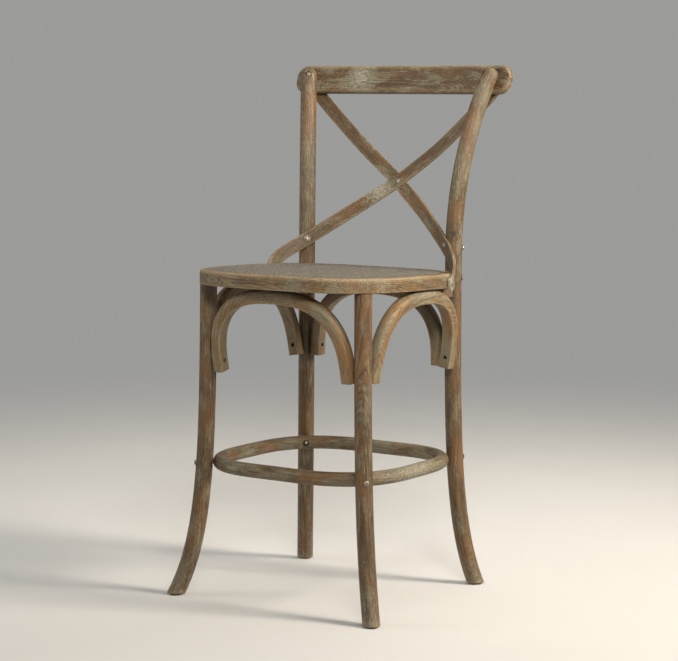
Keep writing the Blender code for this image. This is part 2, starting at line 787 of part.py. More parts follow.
def rail_mesh():
    up = Vector((0, sin(RAIL_RAKE), cos(RAIL_RAKE)))
    stations = []
    ends = [RAIL_END_R * (1 - cos(pi / 2 * k / 5)) for k in range(5)]
    stations += [-RAIL_HALF + 0.0004 + e for e in ends]
    span = RAIL_HALF - RAIL_END_R
    stations += [-span + 2 * span * i / 10 for i in range(11)]
    stations += [RAIL_HALF - 0.0004 - e for e in reversed(ends)]
    rings = []
    for x in stations:
        centre, along = rail_frame(x)
        past = max(0.0, abs(x) - span) / RAIL_END_R
        lost = RAIL_END_R * (1 - max(0.0, 1 - past ** 2) ** 0.5)
        half_h = RAIL_H / 2 - lost
        half_t = RAIL_T / 2 * (1 - 0.35 * past ** 4)
        r = min(RAIL_EDGE_R, half_t * 0.6)
        square = up.cross(along).normalized()
        corner = [(half_h - r + r * cos(a), half_t - r + r * sin(a))
                  for a in (0, pi / 4, pi / 2)]
        quarter_signs = ((1, 1, 1), (-1, 1, -1), (-1, -1, 1), (1, -1, -1))
        ring = []
        for su, st, order in quarter_signs:
            for u, t in corner[::order]:
                ring.append(centre + up * (su * u) + square * (st * t))
        rings.append(ring)
    return loft_mesh(rings)


# ---------------------------------------------------------------- fasteners
def dome_bolt(head_r, head_h, shank_r, length):
    """Dome head just above z = 0 and a straight shank below it."""
    return turned_mesh(((0, head_h), (head_r * 0.55, head_h * 0.84), (head_r, head_h * 0.36),
                        (head_r, BED), (shank_r, BED), (shank_r, -length), (0, -length)), 8)


def sunk_screw(head_r, shank_r, length):
    """Countersunk head, flat at z = 0, and a pointed shank below it."""
    return turned_mesh(((0, 0), (head_r, 0), (head_r, -0.0006), (shank_r, -head_r),
                        (shank_r, -length + 0.003), (0, -length)), 8)


def cap_nut():
    """Acorn nut: a flange, a barrel and a dome, hollow below for the bolt's end."""
    return turned_mesh(((0, 0.0075), (0.0026, 0.0066), (0.0042, 0.0045), (0.0048, 0.0012),
                        (0.0060, 0.0010), (0.0060, GAP), (BOLT_R + GAP, GAP),
                        (BOLT_R + GAP, 0.0040), (0, 0.0040)), 8)


def reversed_places(places):
    return [(p, -d) for p, d in places]


def corner_name(point):
    """Where a place lies, seen by the sitter: front_left and so on."""
    row = "front" if point[1] < 0 else "back"
    return row + ("_left" if point[0] > 0 else "_right")


def add_each(name, master, places, finish="steel", labels=None):
    """One part for each place, named by its side or by the labels given."""
    for i, (point, direction) in enumerate(places):
        label = labels[i] if labels else ("left" if point[0] > 0 else "right")
        add_part("%s_%s" % (name, label) if label else name,
                 placed_mesh(master, point, direction), finish, SMOOTH_ROUND)


def add_ring_bolts():
    """Dome outside each leg, and a cap nut sunk in a well inside the ring."""
    bolts = ring_bolt_places()
    through = 2 * ROUND_R + GAP + 2 * RING_TUBE_R - RING_NUT_DEEP
    corners = [corner_name(p) for p, _ in bolts]
    add_each("ring_bolt", dome_bolt(0.0056, 0.0028, BOLT_R, through + NUT_GRIP),
             reversed_places(bolts), labels=corners)
    wells = [(p + d * through, d) for p, d in bolts]
    add_each("ring_nut", cap_nut(), wells, labels=corners)
    shafts = add_cutter("ring_bolt_bores",
                        bore_mesh(bolts, BOLT_R + GAP, BORE_START, through + BORE_START))
    return shafts, add_cutter("ring_nut_wells", bore_mesh(wells, RING_WELL_R, 0.0, 0.02))


def add_arch_screws(arches):
    """Two screws through each arch's feet and one up through its crown."""
    foot = [place for arch in ARCHES for place in arch.foot_screws()]
    heads = [(p + d * ARCH_SINK, -d) for p, d in foot]
    crown = [arch.top_screw() for arch in ARCHES]
    screw = sunk_screw(ARCH_HEAD_R, SCREW_R, ARCH_SCREW_LENGTH)
    for n, arch in enumerate(ARCHES):
        pair = heads[2 * n:2 * n + 2]
        across = "x" if abs(pair[0][1].x) > 0.5 else "y"
        words = ("left", "right") if across == "x" else ("back", "front")
        labels = [words[0] if getattr(p, across) > 0 else words[1] for p, _ in pair]
        add_each(arch.name + "_screw", screw, pair, labels=labels)
        point, up = crown[n]
        add_each(arch.name + "_screw_top", screw, [(point + up * ARCH_SINK, -up)], labels=[""])
    bores = {}
    for word, places in (("foot", foot), ("crown", crown)):
        bores[word] = add_cutter(word + "_screw_bores", bore_mesh(
            places, SCREW_R + GAP, BORE_START, ARCH_BORE, SCREW_SIDES))
        wells = add_cutter(word + "_screw_wells", bore_mesh(
            places, ARCH_HEAD_R + GAP, BORE_START, ARCH_WELL))
        for arch in arches.values():
            cut(arch, bores[word], wells)
    return bores["foot"], bores["crown"]


def add_straps(posts):
    """The strap that starts at the right of the seat lies in front at the crossing."""
    half_t = STRAP_T / 2
    near_cross = ((ROW_CROSS - 1) * STRAP_STEPS - 1, (ROW_CROSS + 1) * STRAP_STEPS + 2)
    straps, beds = {}, {}
    for side, name in ((-1, "back_strap_front"), (1, "back_strap_rear")):
        mesh = strap_mesh(side, half_t, half_t, STRAP_W, soft=0.0012, tip=0.0012)
        straps[side] = add_part(name, mesh, "wood", SMOOTH_WOOD)
        beds[side] = add_cutter("strap_bed_%d" % side, strap_mesh(
            side, half_t + BED, half_t + BED, STRAP_W + 2 * BED))
        cut(posts[side], beds[side])
    # both halves of the lap stop at the rear strap's middle surface
    wide = STRAP_W + 2 * GAP
    lap_back = add_cutter("lap_back", strap_mesh(1, GAP / 2, LAP_REACH, wide, near_cross))
    lap_front = add_cutter("lap_front", strap_mesh(-1, LAP_REACH, LAP_REACH, wide, near_cross))
    level = add_cutter("lap_level", strap_mesh(1, LAP_REACH, GAP / 2, wide * 1.8, near_cross))
    keep = lap_front.modifiers.new("level", "BOOLEAN")
    keep.operation = "INTERSECT"
    keep.solver = "EXACT"
    keep.object = level
    cut(straps[-1], lap_back)
    cut(straps[1], lap_front)
    return straps, beds


def add_seat_bolts():
    way = Vector(SEAT_BOLT_WAY)
    axis = back_post_axis(SEAT_Z + SEAT_SLOPE * BACK_POST[1] + SEAT_THICK / 2)
    places = mirrored([(axis + way * ROUND_R, -way)])
    add_each("seat_bolt", dome_bolt(0.0062, 0.0030, BOLT_R, SEAT_BOLT_LENGTH),
             reversed_places(places))
    return add_cutter("seat_bolt_bores", bore_mesh(
        places, BOLT_R + GAP, BORE_START, SEAT_BOLT_LENGTH + 0.001))


def add_strap_screws(name, row, head, length):
    """A dome screw through each strap at a path row, driven into what lies in front."""
    centre, back = strap_at(row)
    places = mirrored([(centre + back * STRAP_T / 2, -back)])
    add_each(name, dome_bolt(*head, SCREW_R, length), reversed_places(places))
    return add_cutter(name + "_bores", bore_mesh(
        places, SCREW_R + GAP, BORE_START, length + 0.001, SCREW_SIDES))


def add_rail_screws():
    """Screws from the posts' fronts into the rail, their heads just below the wood."""
    inward = Vector((sin(RAIL_SCREW_TOE), cos(RAIL_SCREW_TOE) * cos(RAIL_RAKE),
                     -cos(RAIL_SCREW_TOE) * sin(RAIL_RAKE)))
    places = mirrored([(back_post_axis(RAIL_SCREW_Z) - inward * ROUND_R, inward)])
    add_each("rail_screw", sunk_screw(RAIL_SCREW_R, BOLT_R, RAIL_SCREW_LENGTH),
             [(p + d * RAIL_SCREW_SINK, -d) for p, d in places])
    return (add_cutter("rail_screw_bores", bore_mesh(places, BOLT_R + GAP, BORE_START, RAIL_BORE)),
            add_cutter("rail_screw_wells",
                       bore_mesh(places, RAIL_WELL_R, BORE_START, RAIL_WELL)))


def add_strap_bolts():
    """A bolt through each strap and its post, with a cap nut behind the post."""
    centre, back = strap_at(ROW_POST * STRAP_STEPS)
    places = mirrored([(centre - back * STRAP_T / 2, back)])
    start, way = places[0]
    through = (back_post_axis(start.z) - start).dot(way) + ROUND_R + NUT_SEAT
    add_each("strap_post_bolt", dome_bolt(0.0052, 0.0022, BOLT_R, through + NUT_GRIP),
             reversed_places(places))
    add_each("strap_cap_nut", cap_nut(), [(p + d * through, d) for p, d in places])
    return add_cutter("strap_post_bores", bore_mesh(places, BOLT_R + GAP, BORE_START, 0.06))


def add_cross_bolt():
    centre, back = strap_at(ROW_CROSS * STRAP_STEPS)
    places = [(centre - back * STRAP_T / 2, back)]
    add_each("cross_bolt", dome_bolt(0.0054, 0.0024, BOLT_R, STRAP_T + 0.0025),
             reversed_places(places), labels=[""])
    add_each("cross_cap_nut", cap_nut(), [(p + d * (STRAP_T + BED), d) for p, d in places],
             labels=[""])
    return add_cutter("cross_bore", bore_mesh(places, BOLT_R + GAP, BORE_START, 0.02))


def build():
    legs = add_front_legs()
    posts = add_back_posts()
    ring = add_ring()
    arches = {arch.name: arch.build() for arch in ARCHES}
    round_cutters = {side: post_cutter(side) for _, side in SIDES}
    for (row, side), place in add_glides().items():
        hole = add_cutter("pin_hole_%s_%d" % (row, side),
                          bore_mesh([place], 0.0020, BORE_START, 0.020))
        cut(legs[side] if row == "front" else posts[side], hole)

    ring_bores, ring_wells = add_ring_bolts()
    cut(ring, ring_bores, ring_wells)
    foot_bores, crown_bores = add_arch_screws(arches)
    for obj in (*legs.values(), *posts.values()):
        cut(obj, ring_bores, foot_bores)

    straps, beds = add_straps(posts)
    seat_bores = add_seat_bolts()
    end_bores = add_strap_screws("strap_end_screw", END_SCREW_ROW, (0.0040, 0.0016),
                                 STRAP_END_LENGTH)
    mortises = add_cutter("leg_mortises", bore_mesh(
        [tenon_place(s) for _, s in SIDES], TENON_R + GAP, BORE_START, TENON_LEN + GAP, 16))
    add_corner_blocks(round_cutters)
    add_seat((mortises, seat_bores, end_bores, crown_bores, *round_cutters.values(),
              *beds.values()))

    rail = add_part("top_rail", rail_mesh(), "wood", SMOOTH_WOOD)
    rail_bores, rail_wells = add_rail_screws()
    top_bores = add_strap_screws("strap_top_screw", ROW_TOP * STRAP_STEPS - 1, (0.0046, 0.0020),
                                 STRAP_TOP_LENGTH)
    cut(rail, *round_cutters.values(), rail_bores, top_bores)
    strap_bores = add_strap_bolts()
    cross_bore = add_cross_bolt()
    for post in posts.values():
        cut(post, strap_bores, rail_bores, rail_wells, seat_bores)
    for strap in straps.values():
        cut(strap, strap_bores, end_bores, cross_bore, top_bores)


build()
bpy.context.view_layer.update()
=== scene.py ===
from math import atan2, cos, exp, hypot, pi, radians, sin, tanh

import bmesh
import bpy
from mathutils import Matrix, Vector, noise


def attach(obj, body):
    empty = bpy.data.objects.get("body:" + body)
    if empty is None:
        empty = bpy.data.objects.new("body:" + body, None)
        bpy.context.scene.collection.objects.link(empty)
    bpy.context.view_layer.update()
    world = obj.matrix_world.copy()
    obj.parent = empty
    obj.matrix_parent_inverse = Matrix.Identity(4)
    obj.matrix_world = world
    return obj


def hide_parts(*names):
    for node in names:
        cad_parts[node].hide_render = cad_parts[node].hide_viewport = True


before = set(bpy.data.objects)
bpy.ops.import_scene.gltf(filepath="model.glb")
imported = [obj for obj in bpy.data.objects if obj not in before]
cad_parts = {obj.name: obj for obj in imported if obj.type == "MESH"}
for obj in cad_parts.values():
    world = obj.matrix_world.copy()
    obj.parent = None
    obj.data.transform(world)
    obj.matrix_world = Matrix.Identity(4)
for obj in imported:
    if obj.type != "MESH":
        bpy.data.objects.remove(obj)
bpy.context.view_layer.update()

# The stool is laid out about the footrest's centre line, in metres, with +Z up and the
# sitter facing -Y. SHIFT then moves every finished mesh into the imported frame.
SHIFT = Vector((0, -0.0201, 0))
SIDES = (("left", 1), ("right", -1))

# ---------------------------------------------------------------- sizes shared with the CAD
GAP = 0.0003
BED = 0.0006
ROUND_R = 0.0167
TOTAL_TOP = 1.0400
FOOT_Z = 0.0030
FLARE = 0.140
FRONT_FLARE_Y = 0.110
FRONT_LEG = (0.1790, -0.1665)
FRONT_SPLAY = (0.0515, -0.0414)
BACK_POST = (0.1760, 0.1690)
BACK_SPLAY = (0.0346, 0.0498)
RAKE_START = 0.670
RAKE = (0.0445, 0.0684)
RAKE_POWER = 2.1
CROWN = 0.0110
TENON_R = 0.0078
TENON_LEN = 0.0160

SEAT_Z = 0.6148
SEAT_SLOPE = -0.0215
SEAT_THICK = 0.0280
SEAT_W = 0.2225
SEAT_MID_Y = 0.0300
SEAT_FRONT = 0.2735
SEAT_BACK = 0.1590
SEAT_POWER_FRONT = 3.4
SEAT_POWER_BACK = 2.75
RIM = 0.0480
CANE_EDGE = 0.0225
GROOVE_W = 0.0050
RABBET = 0.0032
SPLINE_R = 0.0021

RING_Z = 0.2638
RING_R = 0.2083
RING_TUBE_R = 0.0138
RING_OVAL = 0.0204
RING_SQUARE = 0.0642

ARCH_T = 0.0255
ARCH_D = 0.0260
ARCH_EDGE_R = 0.0110
ARCH_POWER = 2.6
ARCH_SPRING_Z = 0.4600
ARCH_FOOT_Z = 0.4485
ARCH_SCREW_UP = 0.0215

STRAP_W = 0.0272
STRAP_T = 0.0054
CROSS_Z = 0.8110

RAIL_HALF = 0.2555
RAIL_H = 0.0590
RAIL_T = 0.0180
RAIL_Z = 1.0180
RAIL_END_Y = 0.2490
RAIL_BOW = 0.0180
RAIL_RAKE = radians(20)
RAIL_END_R = 0.0230
RAIL_EDGE_R = 0.0055

# ---------------------------------------------------------------- fasteners and their wells
SCREW_R = 0.0019
BOLT_R = 0.0024
RING_HEAD = (0.0056, 0.0028)             # radius and height of a domed head
POST_HEAD = (0.0046, 0.0020)
CROSS_HEAD = (0.0048, 0.0022)
POST_WASHER_R = 0.0068
CROSS_WASHER_R = 0.0072
CROSS_NUT_GRIP = 0.0025
SEAT_BOLT = (0.0062, 0.0030, BOLT_R, 0.0560)     # head radius and height, shank, length
END_SCREW = (0.0040, 0.0016, SCREW_R, 0.0250)
TOP_SCREW = (0.0046, 0.0020, SCREW_R, 0.0160)
RING_NUT_DEEP = 0.0070
RING_WELL_R = 0.0066
RING_BOLT_TURN = 0.66
NUT_GRIP = 0.0030
RAIL_SCREW_Z = 1.0262
RAIL_SCREW_TOE = radians(30)
RAIL_SCREW_LENGTH = 0.0370
RAIL_SCREW_SINK = 0.0018
RAIL_WELL = 0.0066
RAIL_WELL_R = 0.0052
ARCH_SCREW_HEAD_R = 0.0038
ARCH_SCREW_LENGTH = 0.0295
CUT_SPARE = 0.01             # how far a cutter starts outside the wood
X, Z = Vector((1, 0, 0)), Vector((0, 0, 1))


# ---------------------------------------------------------------- shader building
class Tree:
    """A small front end for one material's nodes."""

    def __init__(self, name):
        self.mat = bpy.data.materials.new(name)
        self.mat.use_nodes = True
        self.nodes = self.mat.node_tree.nodes
        self.links = self.mat.node_tree.links
        self.shader = self.nodes["Principled BSDF"]

    def put(self, socket, value):
        if isinstance(value, bpy.types.NodeSocket):
            self.links.new(value, socket)
        else:
            socket.default_value = value

    def math(self, op, a, b=0.0, clamp=False):
        n = self.nodes.new("ShaderNodeMath")
        n.operation = op
        n.use_clamp = clamp
        self.put(n.inputs[0], a)
        self.put(n.inputs[1], b)
        return n.outputs[0]

    def add(self, a, b):
        return self.math("ADD", a, b)

    def sub(self, a, b):
        return self.math("SUBTRACT", a, b)

    def mul(self, a, b, clamp=False):
        return self.math("MULTIPLY", a, b, clamp)

    def split(self, vector):
        n = self.nodes.new("ShaderNodeSeparateXYZ")
        self.put(n.inputs[0], vector)
        return n.outputs

    def uv(self, name):
        source = self.nodes.new("ShaderNodeUVMap")
        source.uv_map = name
        return self.split(source.outputs[0])[:2]

    def place(self):
        return self.nodes.new("ShaderNodeTexCoord").outputs["Object"]

    def vector(self, x, y, z):
        n = self.nodes.new("ShaderNodeCombineXYZ")
        for socket, value in zip(n.inputs, (x, y, z)):
            self.put(socket, value)
        return n.outputs[0]

    def noise(self, where, scale=1.0, detail=3.0, rough=0.5):
        n = self.nodes.new("ShaderNodeTexNoise")
        self.put(n.inputs["Vector"], where)
        n.inputs["Scale"].default_value = scale
        n.inputs["Detail"].default_value = detail
        n.inputs["Roughness"].default_value = rough
        return n.outputs["Fac"]

    def span(self, value, low, high, out_low=0.0, out_high=1.0):
        """Smooth step of a value from one range to another."""
        n = self.nodes.new("ShaderNodeMapRange")
        n.interpolation_type = "SMOOTHSTEP"
        for socket, v in zip(n.inputs, (value, low, high, out_low, out_high)):
            self.put(socket, v)
        return n.outputs[0]

    def ramp(self, fac, stops):
        n = self.nodes.new("ShaderNodeValToRGB")
        self.put(n.inputs[0], fac)
        marks = n.color_ramp.elements
        while len(marks) < len(stops):
            marks.new(0.5)
        for mark, (at, colour) in zip(marks, stops):
            mark.position = at
            mark.color = (*colour, 1.0)
        return n.outputs[0]

    def mix(self, fac, a, b, blend="MIX"):
        n = self.nodes.new("ShaderNodeMix")
        n.data_type = "RGBA"
        n.blend_type = blend
        n.clamp_factor = True
        self.put(n.inputs[0], fac)
        for socket, value in ((n.inputs[6], a), (n.inputs[7], b)):
            self.put(socket, (*value, 1.0) if isinstance(value, tuple) else value)
        return n.outputs[2]

    def bump(self, height, distance, strength=1.0):
        n = self.nodes.new("ShaderNodeBump")
        n.inputs["Strength"].default_value = strength
        n.inputs["Distance"].default_value = distance
        self.put(n.inputs["Height"], height)
        self.put(self.shader.inputs["Normal"], n.outputs[0])

    def finish(self, colour, roughness):
        self.put(self.shader.inputs["Base Color"], colour)
        self.put(self.shader.inputs["Roughness"], roughness)
        return self.mat


OAK_DARK = (0.036, 0.021, 0.010)
OAK_MID = (0.118, 0.072, 0.030)
OAK_LIGHT = (0.290, 0.198, 0.096)
OAK_WARM = (0.225, 0.108, 0.034)
OAK_LINE = (0.045, 0.026, 0.013)
OAK_GREY_DARK = (0.060, 0.050, 0.028)
OAK_GREY_LIGHT = (0.252, 0.224, 0.146)
OAK_CHALK = (0.380, 0.365, 0.305)
OAK_WORN = (0.380, 0.275, 0.150)
OAK_PORE = (0.018, 0.012, 0.007)
OAK_KNOT_AND_SHADE = (0.022, 0.016, 0.010)


def oak(name, grey=0.5, warm=0.5, rings=0.0034, contrast=1.0, light=1.0, calm=0.0):
    """Weathered open-grained oak, driven by the board coordinates on each mesh."""
    t = Tree(name)
    s, u = t.uv("along")
    v, q = t.uv("across")
    wear_and_shade, age = t.uv("age")

    def board(along, across):
        return t.vector(t.mul(s, along), t.mul(u, across), t.mul(v, across))

    broad = t.noise(board(9, 26), detail=5, rough=0.62)
    cloud = t.noise(board(17, 42), detail=5, rough=0.66)
    warp = t.noise(board(9, 60), detail=2)
    streak = t.noise(board(26, 330), detail=6, rough=0.66)
    dash = t.noise(board(75, 620), detail=3, rough=0.6)
    fine = t.noise(board(160, 1500), detail=3, rough=0.6)
    fleck = t.noise(board(150, 300), detail=4, rough=0.7)

    # growth rings: a dark, porous start that fades across each year
    year = t.add(t.math("DIVIDE", q, rings), t.mul(warp, 0.9))
    phase = t.math("FRACT", year)
    early = t.add(t.span(phase, 0.0, 0.42, 1.0, 0.0), t.span(phase, 0.90, 1.0))
    line = t.mul(early, t.span(dash, 0.25, 0.60, 0.35, 1.0))

    tone = [tuple(c * light for c in row) for row in (OAK_DARK, OAK_MID, OAK_LIGHT)]
    body = t.add(t.mul(streak, 0.62), t.mul(dash, 0.38))
    colour = t.ramp(body, [(0.34 - 0.10 * calm, tone[0]), (0.48, tone[1]),
                           (0.64 + 0.12 * calm, tone[2])])
    colour = t.mix(t.span(broad, 0.44, 0.60, 0.0, warm * 0.8), colour,
                   tuple(c * light for c in OAK_WARM))
    colour = t.mix(t.mul(line, 0.62 * contrast, True), colour, OAK_LINE)

    # grey-green patina, in long patches and wherever the age map asks for it
    patch = t.sub(t.mul(fleck, 0.30), cloud)
    patch = t.add(patch, t.mul(age, 0.40))
    edge = -0.40 - 0.22 * (grey - 0.5)
    cover = t.span(patch, edge, edge + 0.16, 0.0, min(0.92, 0.40 + grey * 0.7))
    filler = t.add(t.mul(dash, 0.5), t.mul(streak, 0.5))
    ash = t.ramp(filler, [(0.34 - 0.12 * calm, OAK_GREY_DARK), (0.66 + 0.06 * calm, OAK_GREY_LIGHT)])
    ash = t.mix(t.mul(line, 0.45 * contrast, True), ash, OAK_GREY_DARK)
    colour = t.mix(cover, colour, ash)
    chalk = t.add(t.mul(age, 0.34), fleck)
    chalk = t.mul(t.span(chalk, 0.58, 0.86), t.span(dash, 0.36, 0.60, 0.60, 1.0))
    colour = t.mix(t.mul(chalk, 0.66), colour, OAK_CHALK)

    open_pore = t.mul(t.span(fine, 0.56, 0.70), t.span(body, 0.60, 0.42))
    colour = t.mix(t.mul(open_pore, 0.60), colour, OAK_PORE)
    rub = t.mul(wear_and_shade, t.span(fleck, 0.30, 0.68, 0.35, 0.90), clamp=True)
    colour = t.mix(t.mul(rub, 0.55), colour, OAK_WORN)
    # painted shade: below zero the wear map darkens cut recesses and the rim's inner faces and
    # underside; knots darken the same way
    colour = t.mix(t.span(wear_and_shade, 0.0, -1.0, 0.0, 0.85), colour, OAK_KNOT_AND_SHADE)

    relief = t.sub(body, t.mul(line, 0.45))
    relief = t.add(relief, t.mul(fine, 0.4))
    relief = t.sub(relief, t.mul(open_pore, 0.8))
    t.bump(relief, 0.00065, 0.9)
    t.shader.inputs["Specular IOR Level"].default_value = 0.42
    return t.finish(colour, t.span(t.add(fine, t.mul(cover, 0.3)), 0.35, 0.95, 0.44, 0.78))


def cane_material(name, light=(0.228, 0.207, 0.166), dark=(0.016, 0.013, 0.010)):
    """Dry split cane: fine fibres along each strand, darker towards its edges and underside with painted
    shade.
    """
    t = Tree(name)
    s, u = t.uv("along")
    v, q = t.uv("across")
    rim, strand = t.uv("age")
    fibre = t.noise(t.vector(t.mul(s, 45), t.mul(u, 1500), t.mul(q, 97)), detail=3, rough=0.6)
    soil = t.noise(t.vector(t.mul(s, 45), t.mul(v, 45), 0.0), detail=4, rough=0.70)
    spot = t.noise(t.vector(t.mul(s, 55), t.mul(q, 970), 3.0), detail=2, rough=0.6)
    tone = t.add(t.mul(fibre, 0.25), t.mul(strand, 0.20))
    tone = t.add(tone, t.mul(soil, 0.30))
    tone = t.add(tone, t.mul(spot, 0.70))
    half = tuple(0.45 * a + 0.55 * b for a, b in zip(light, dark))
    colour = t.ramp(tone, [(0.55, dark), (0.70, half), (0.88, light)])
    # painted shade, near black, on each strand's sides and underside where it tucks into the weave
    colour = t.mix(t.mul(rim, 0.85), colour, tuple(c * 0.30 for c in dark))
    t.bump(fibre, 0.0003, 0.7)
    t.shader.inputs["Specular IOR Level"].default_value = 0.45
    return t.finish(colour, t.span(fibre, 0.3, 0.7, 0.42, 0.66))


def aged_metal(name, light=(0.56, 0.53, 0.47), dark=(0.16, 0.12, 0.085), rough=0.36):
    t = Tree(name)
    where = t.place()
    cloud = t.noise(where, 240, 4, 0.6)
    speck = t.noise(where, 1700, 3, 0.6)
    tarnish = t.span(t.add(cloud, t.mul(speck, 0.4)), 0.62, 0.92)
    colour = t.mix(tarnish, light, dark)
    t.put(t.shader.inputs["Metallic"], t.span(tarnish, 0.0, 1.0, 1.0, 0.55))
    t.bump(t.add(speck, cloud), 0.00012, 0.6)
    return t.finish(colour, t.span(tarnish, 0.0, 1.0, rough, 0.78))


def raw_block(name):
    """Sawn softwood with broad rings and saw marks across them."""
    t = Tree(name)
    where = t.place()
    x, y, z = t.split(where)
    warp = t.noise(where, 60, 3)
    ring = t.math("FRACT", t.add(t.mul(y, 170), t.mul(warp, 2.0)))
    saw = t.noise(t.vector(t.mul(x, 90), t.mul(y, 90), t.mul(z, 900)), detail=2)
    colour = t.ramp(ring, [(0.0, (0.075, 0.046, 0.024)), (0.35, (0.130, 0.086, 0.048)),
                           (1.0, (0.165, 0.114, 0.066))])
    colour = t.mix(t.span(saw, 0.4, 0.75, 0.0, 0.5), colour, (0.16, 0.11, 0.08))
    t.bump(saw, 0.0006, 0.8)
    return t.finish(colour, 0.78)


def nylon(name):
    t = Tree(name)
    grain = t.noise(t.place(), 2600, 2)
    dust = t.noise(t.place(), 160, 4, 0.6)
    t.bump(grain, 0.0001, 0.5)
    colour = t.mix(t.span(dust, 0.5, 0.75, 0.0, 0.35), (0.030, 0.027, 0.024), (0.16, 0.145, 0.12))
    return t.finish(colour, t.span(grain, 0.3, 0.7, 0.42, 0.62))


MATERIALS = {
    "leg_wood": oak("leg_oak", grey=0.36, warm=1.00, rings=0.0036, contrast=1.4, light=0.66,
                    calm=0.4),
    "ring_wood": oak("ring_oak", grey=0.66, warm=1.10, rings=0.0036, contrast=1.2, light=0.74,
                     calm=0.5),
    "arch_wood": oak("arch_oak", grey=0.58, warm=0.50, rings=0.0040, contrast=1.2, light=1.20,
                     calm=1.3),
    "seat_wood": oak("seat_oak", grey=0.50, warm=0.50, rings=0.0038, contrast=1.3, light=0.90,
                     calm=0.5),
    "strap_wood": oak("strap_oak", grey=0.30, warm=0.80, contrast=0.5, light=0.60, calm=1.2),
    "rail_wood": oak("rail_oak", grey=0.58, warm=0.45, rings=0.0040, contrast=1.7, light=0.62,
                     calm=1.0),
    "block_wood": raw_block("block_pine"),
    "cane": cane_material("seat_cane"),
    "cane_spline": cane_material("spline_reed", (0.330, 0.265, 0.180), (0.120, 0.090, 0.060)),
    "screw_steel": aged_metal("screw_metal", (0.24, 0.21, 0.16), (0.06, 0.045, 0.03), 0.48),
    "bolt_steel": aged_metal("bolt_metal", (0.30, 0.265, 0.205), (0.08, 0.06, 0.04), 0.46),
    "nut_steel": aged_metal("nut_metal", (0.34, 0.31, 0.26), (0.09, 0.07, 0.05), 0.44),
    "glide": nylon("glide_nylon"),
}


# ---------------------------------------------------------------- mesh building
class Stick:
    """The straight board a piece came from: where its heart lay and how its rings run out.

    Each dive is (place along the board, its length, depth): there the rings cross the surface
    steeply, which shows as cathedral arches and close ripples.
    """

    def __init__(self, seed, heart=(0.060, 0.020), runout=(0.030, 0.0), wander=0.0060, dives=()):
        self.seed = seed
        self.heart = heart
        self.runout = runout
        self.wander = wander
        self.dives = dives

    def facts(self, s, u, v, wear_and_shade=0.0, age=0.0):
        sway = noise.noise(Vector((s * 2.6, self.seed * 1.7, 0.0))) * self.wander
        roll = noise.noise(Vector((s * 1.9, self.seed * 1.7, 7.0))) * self.wander
        du = self.heart[0] + u + self.runout[0] * s + sway
        dv = self.heart[1] + v + self.runout[1] * s + roll
        for at, length, depth in self.dives:
            dv += depth * tanh((s - at) / length)
        return (s + self.seed * 1.31, u, v, hypot(du, dv), wear_and_shade, age)


def bell(x):
    """1 at zero, falling smoothly to nothing on both sides."""
    return exp(-x ** 2)


def link(name, data):
    """A new object in the scene."""
    obj = bpy.data.objects.new(name, data)
    bpy.context.scene.collection.objects.link(obj)
    return obj


def from_bmesh(bm, name):
    mesh = bpy.data.meshes.new(name)
    bm.to_mesh(mesh)
    bm.free()
    return mesh


# the "age" map holds the wear map, which below zero carries painted shade and dark knots, and the patina
# age
LAYERS = (("along", 0, 1), ("across", 2, 3), ("age", 4, 5))
NO_FACTS = (0, 0, 0, 0, 0, 0)


def write_facts(mesh, corner_facts):
    """Store six numbers on each face corner as three UV maps."""
    for name, a, b in LAYERS:
        layer = mesh.uv_layers.get(name) or mesh.uv_layers.new(name=name)
        flat = [x for row in corner_facts for x in (row[a], row[b])]
        layer.data.foreach_set("uv", flat)


def paint_by_place(mesh, rule):
    """Board facts from each vertex's own position."""
    known = [rule(v.co) for v in mesh.vertices]
    write_facts(mesh, [known[loop.vertex_index] for loop in mesh.loops])
    return mesh


def skins(shells, closed=False):
    """One mesh from shells, each (rows of points, rows of facts). Where closed, the last row
    joins the first, and there is one more row of facts than of points."""
    verts, faces, corners = [], [], []
    for rows, facts in shells:
        first, count = len(verts), len(rows[0])
        verts += [p for row in rows for p in row]
        for r in range(len(rows) if closed else len(rows) - 1):
            a, b = first + r * count, first + (r + 1) % len(rows) * count
            for i in range(count):
                j = (i + 1) % count
                faces.append((a + i, a + j, b + j, b + i))
                corners += (facts[r][i], facts[r][j], facts[r + 1][j], facts[r + 1][i])
        if not closed:
            end = first + (len(rows) - 1) * count
            faces += [tuple(range(first, first + count))[::-1], tuple(range(end, end + count))]
            corners += facts[0][::-1] + facts[-1]
    mesh = bpy.data.meshes.new("skin")
    mesh.from_pydata(verts, [], faces)
    write_facts(mesh, corners)
    return face_out(mesh)


def skin(rows, facts=None, closed=False):
    """Skin rows of points. Without facts it is painted later."""
    return skins([(rows, facts or [[NO_FACTS] * len(rows[0])] * (len(rows) + 1))], closed)


def face_out(mesh):
    bm = bmesh.new()
    bm.from_mesh(mesh)
    bmesh.ops.recalc_face_normals(bm, faces=bm.faces)
    bm.to_mesh(mesh)
    bm.free()
    return mesh


def add_piece(name, mesh, slot, *nodes, sharp=38):
    """Put a finished mesh on the stool, in place of the CAD nodes it stands for."""
    assert len(mesh.vertices), name
    mesh.materials.clear()
    mesh.materials.append(MATERIALS[slot])
    mesh.transform(Matrix.Translation(SHIFT))
    mesh.shade_smooth()
    mesh.set_sharp_from_angle(angle=radians(sharp))
    obj = link(name, mesh)
    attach(obj, "root")
    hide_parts(*nodes)


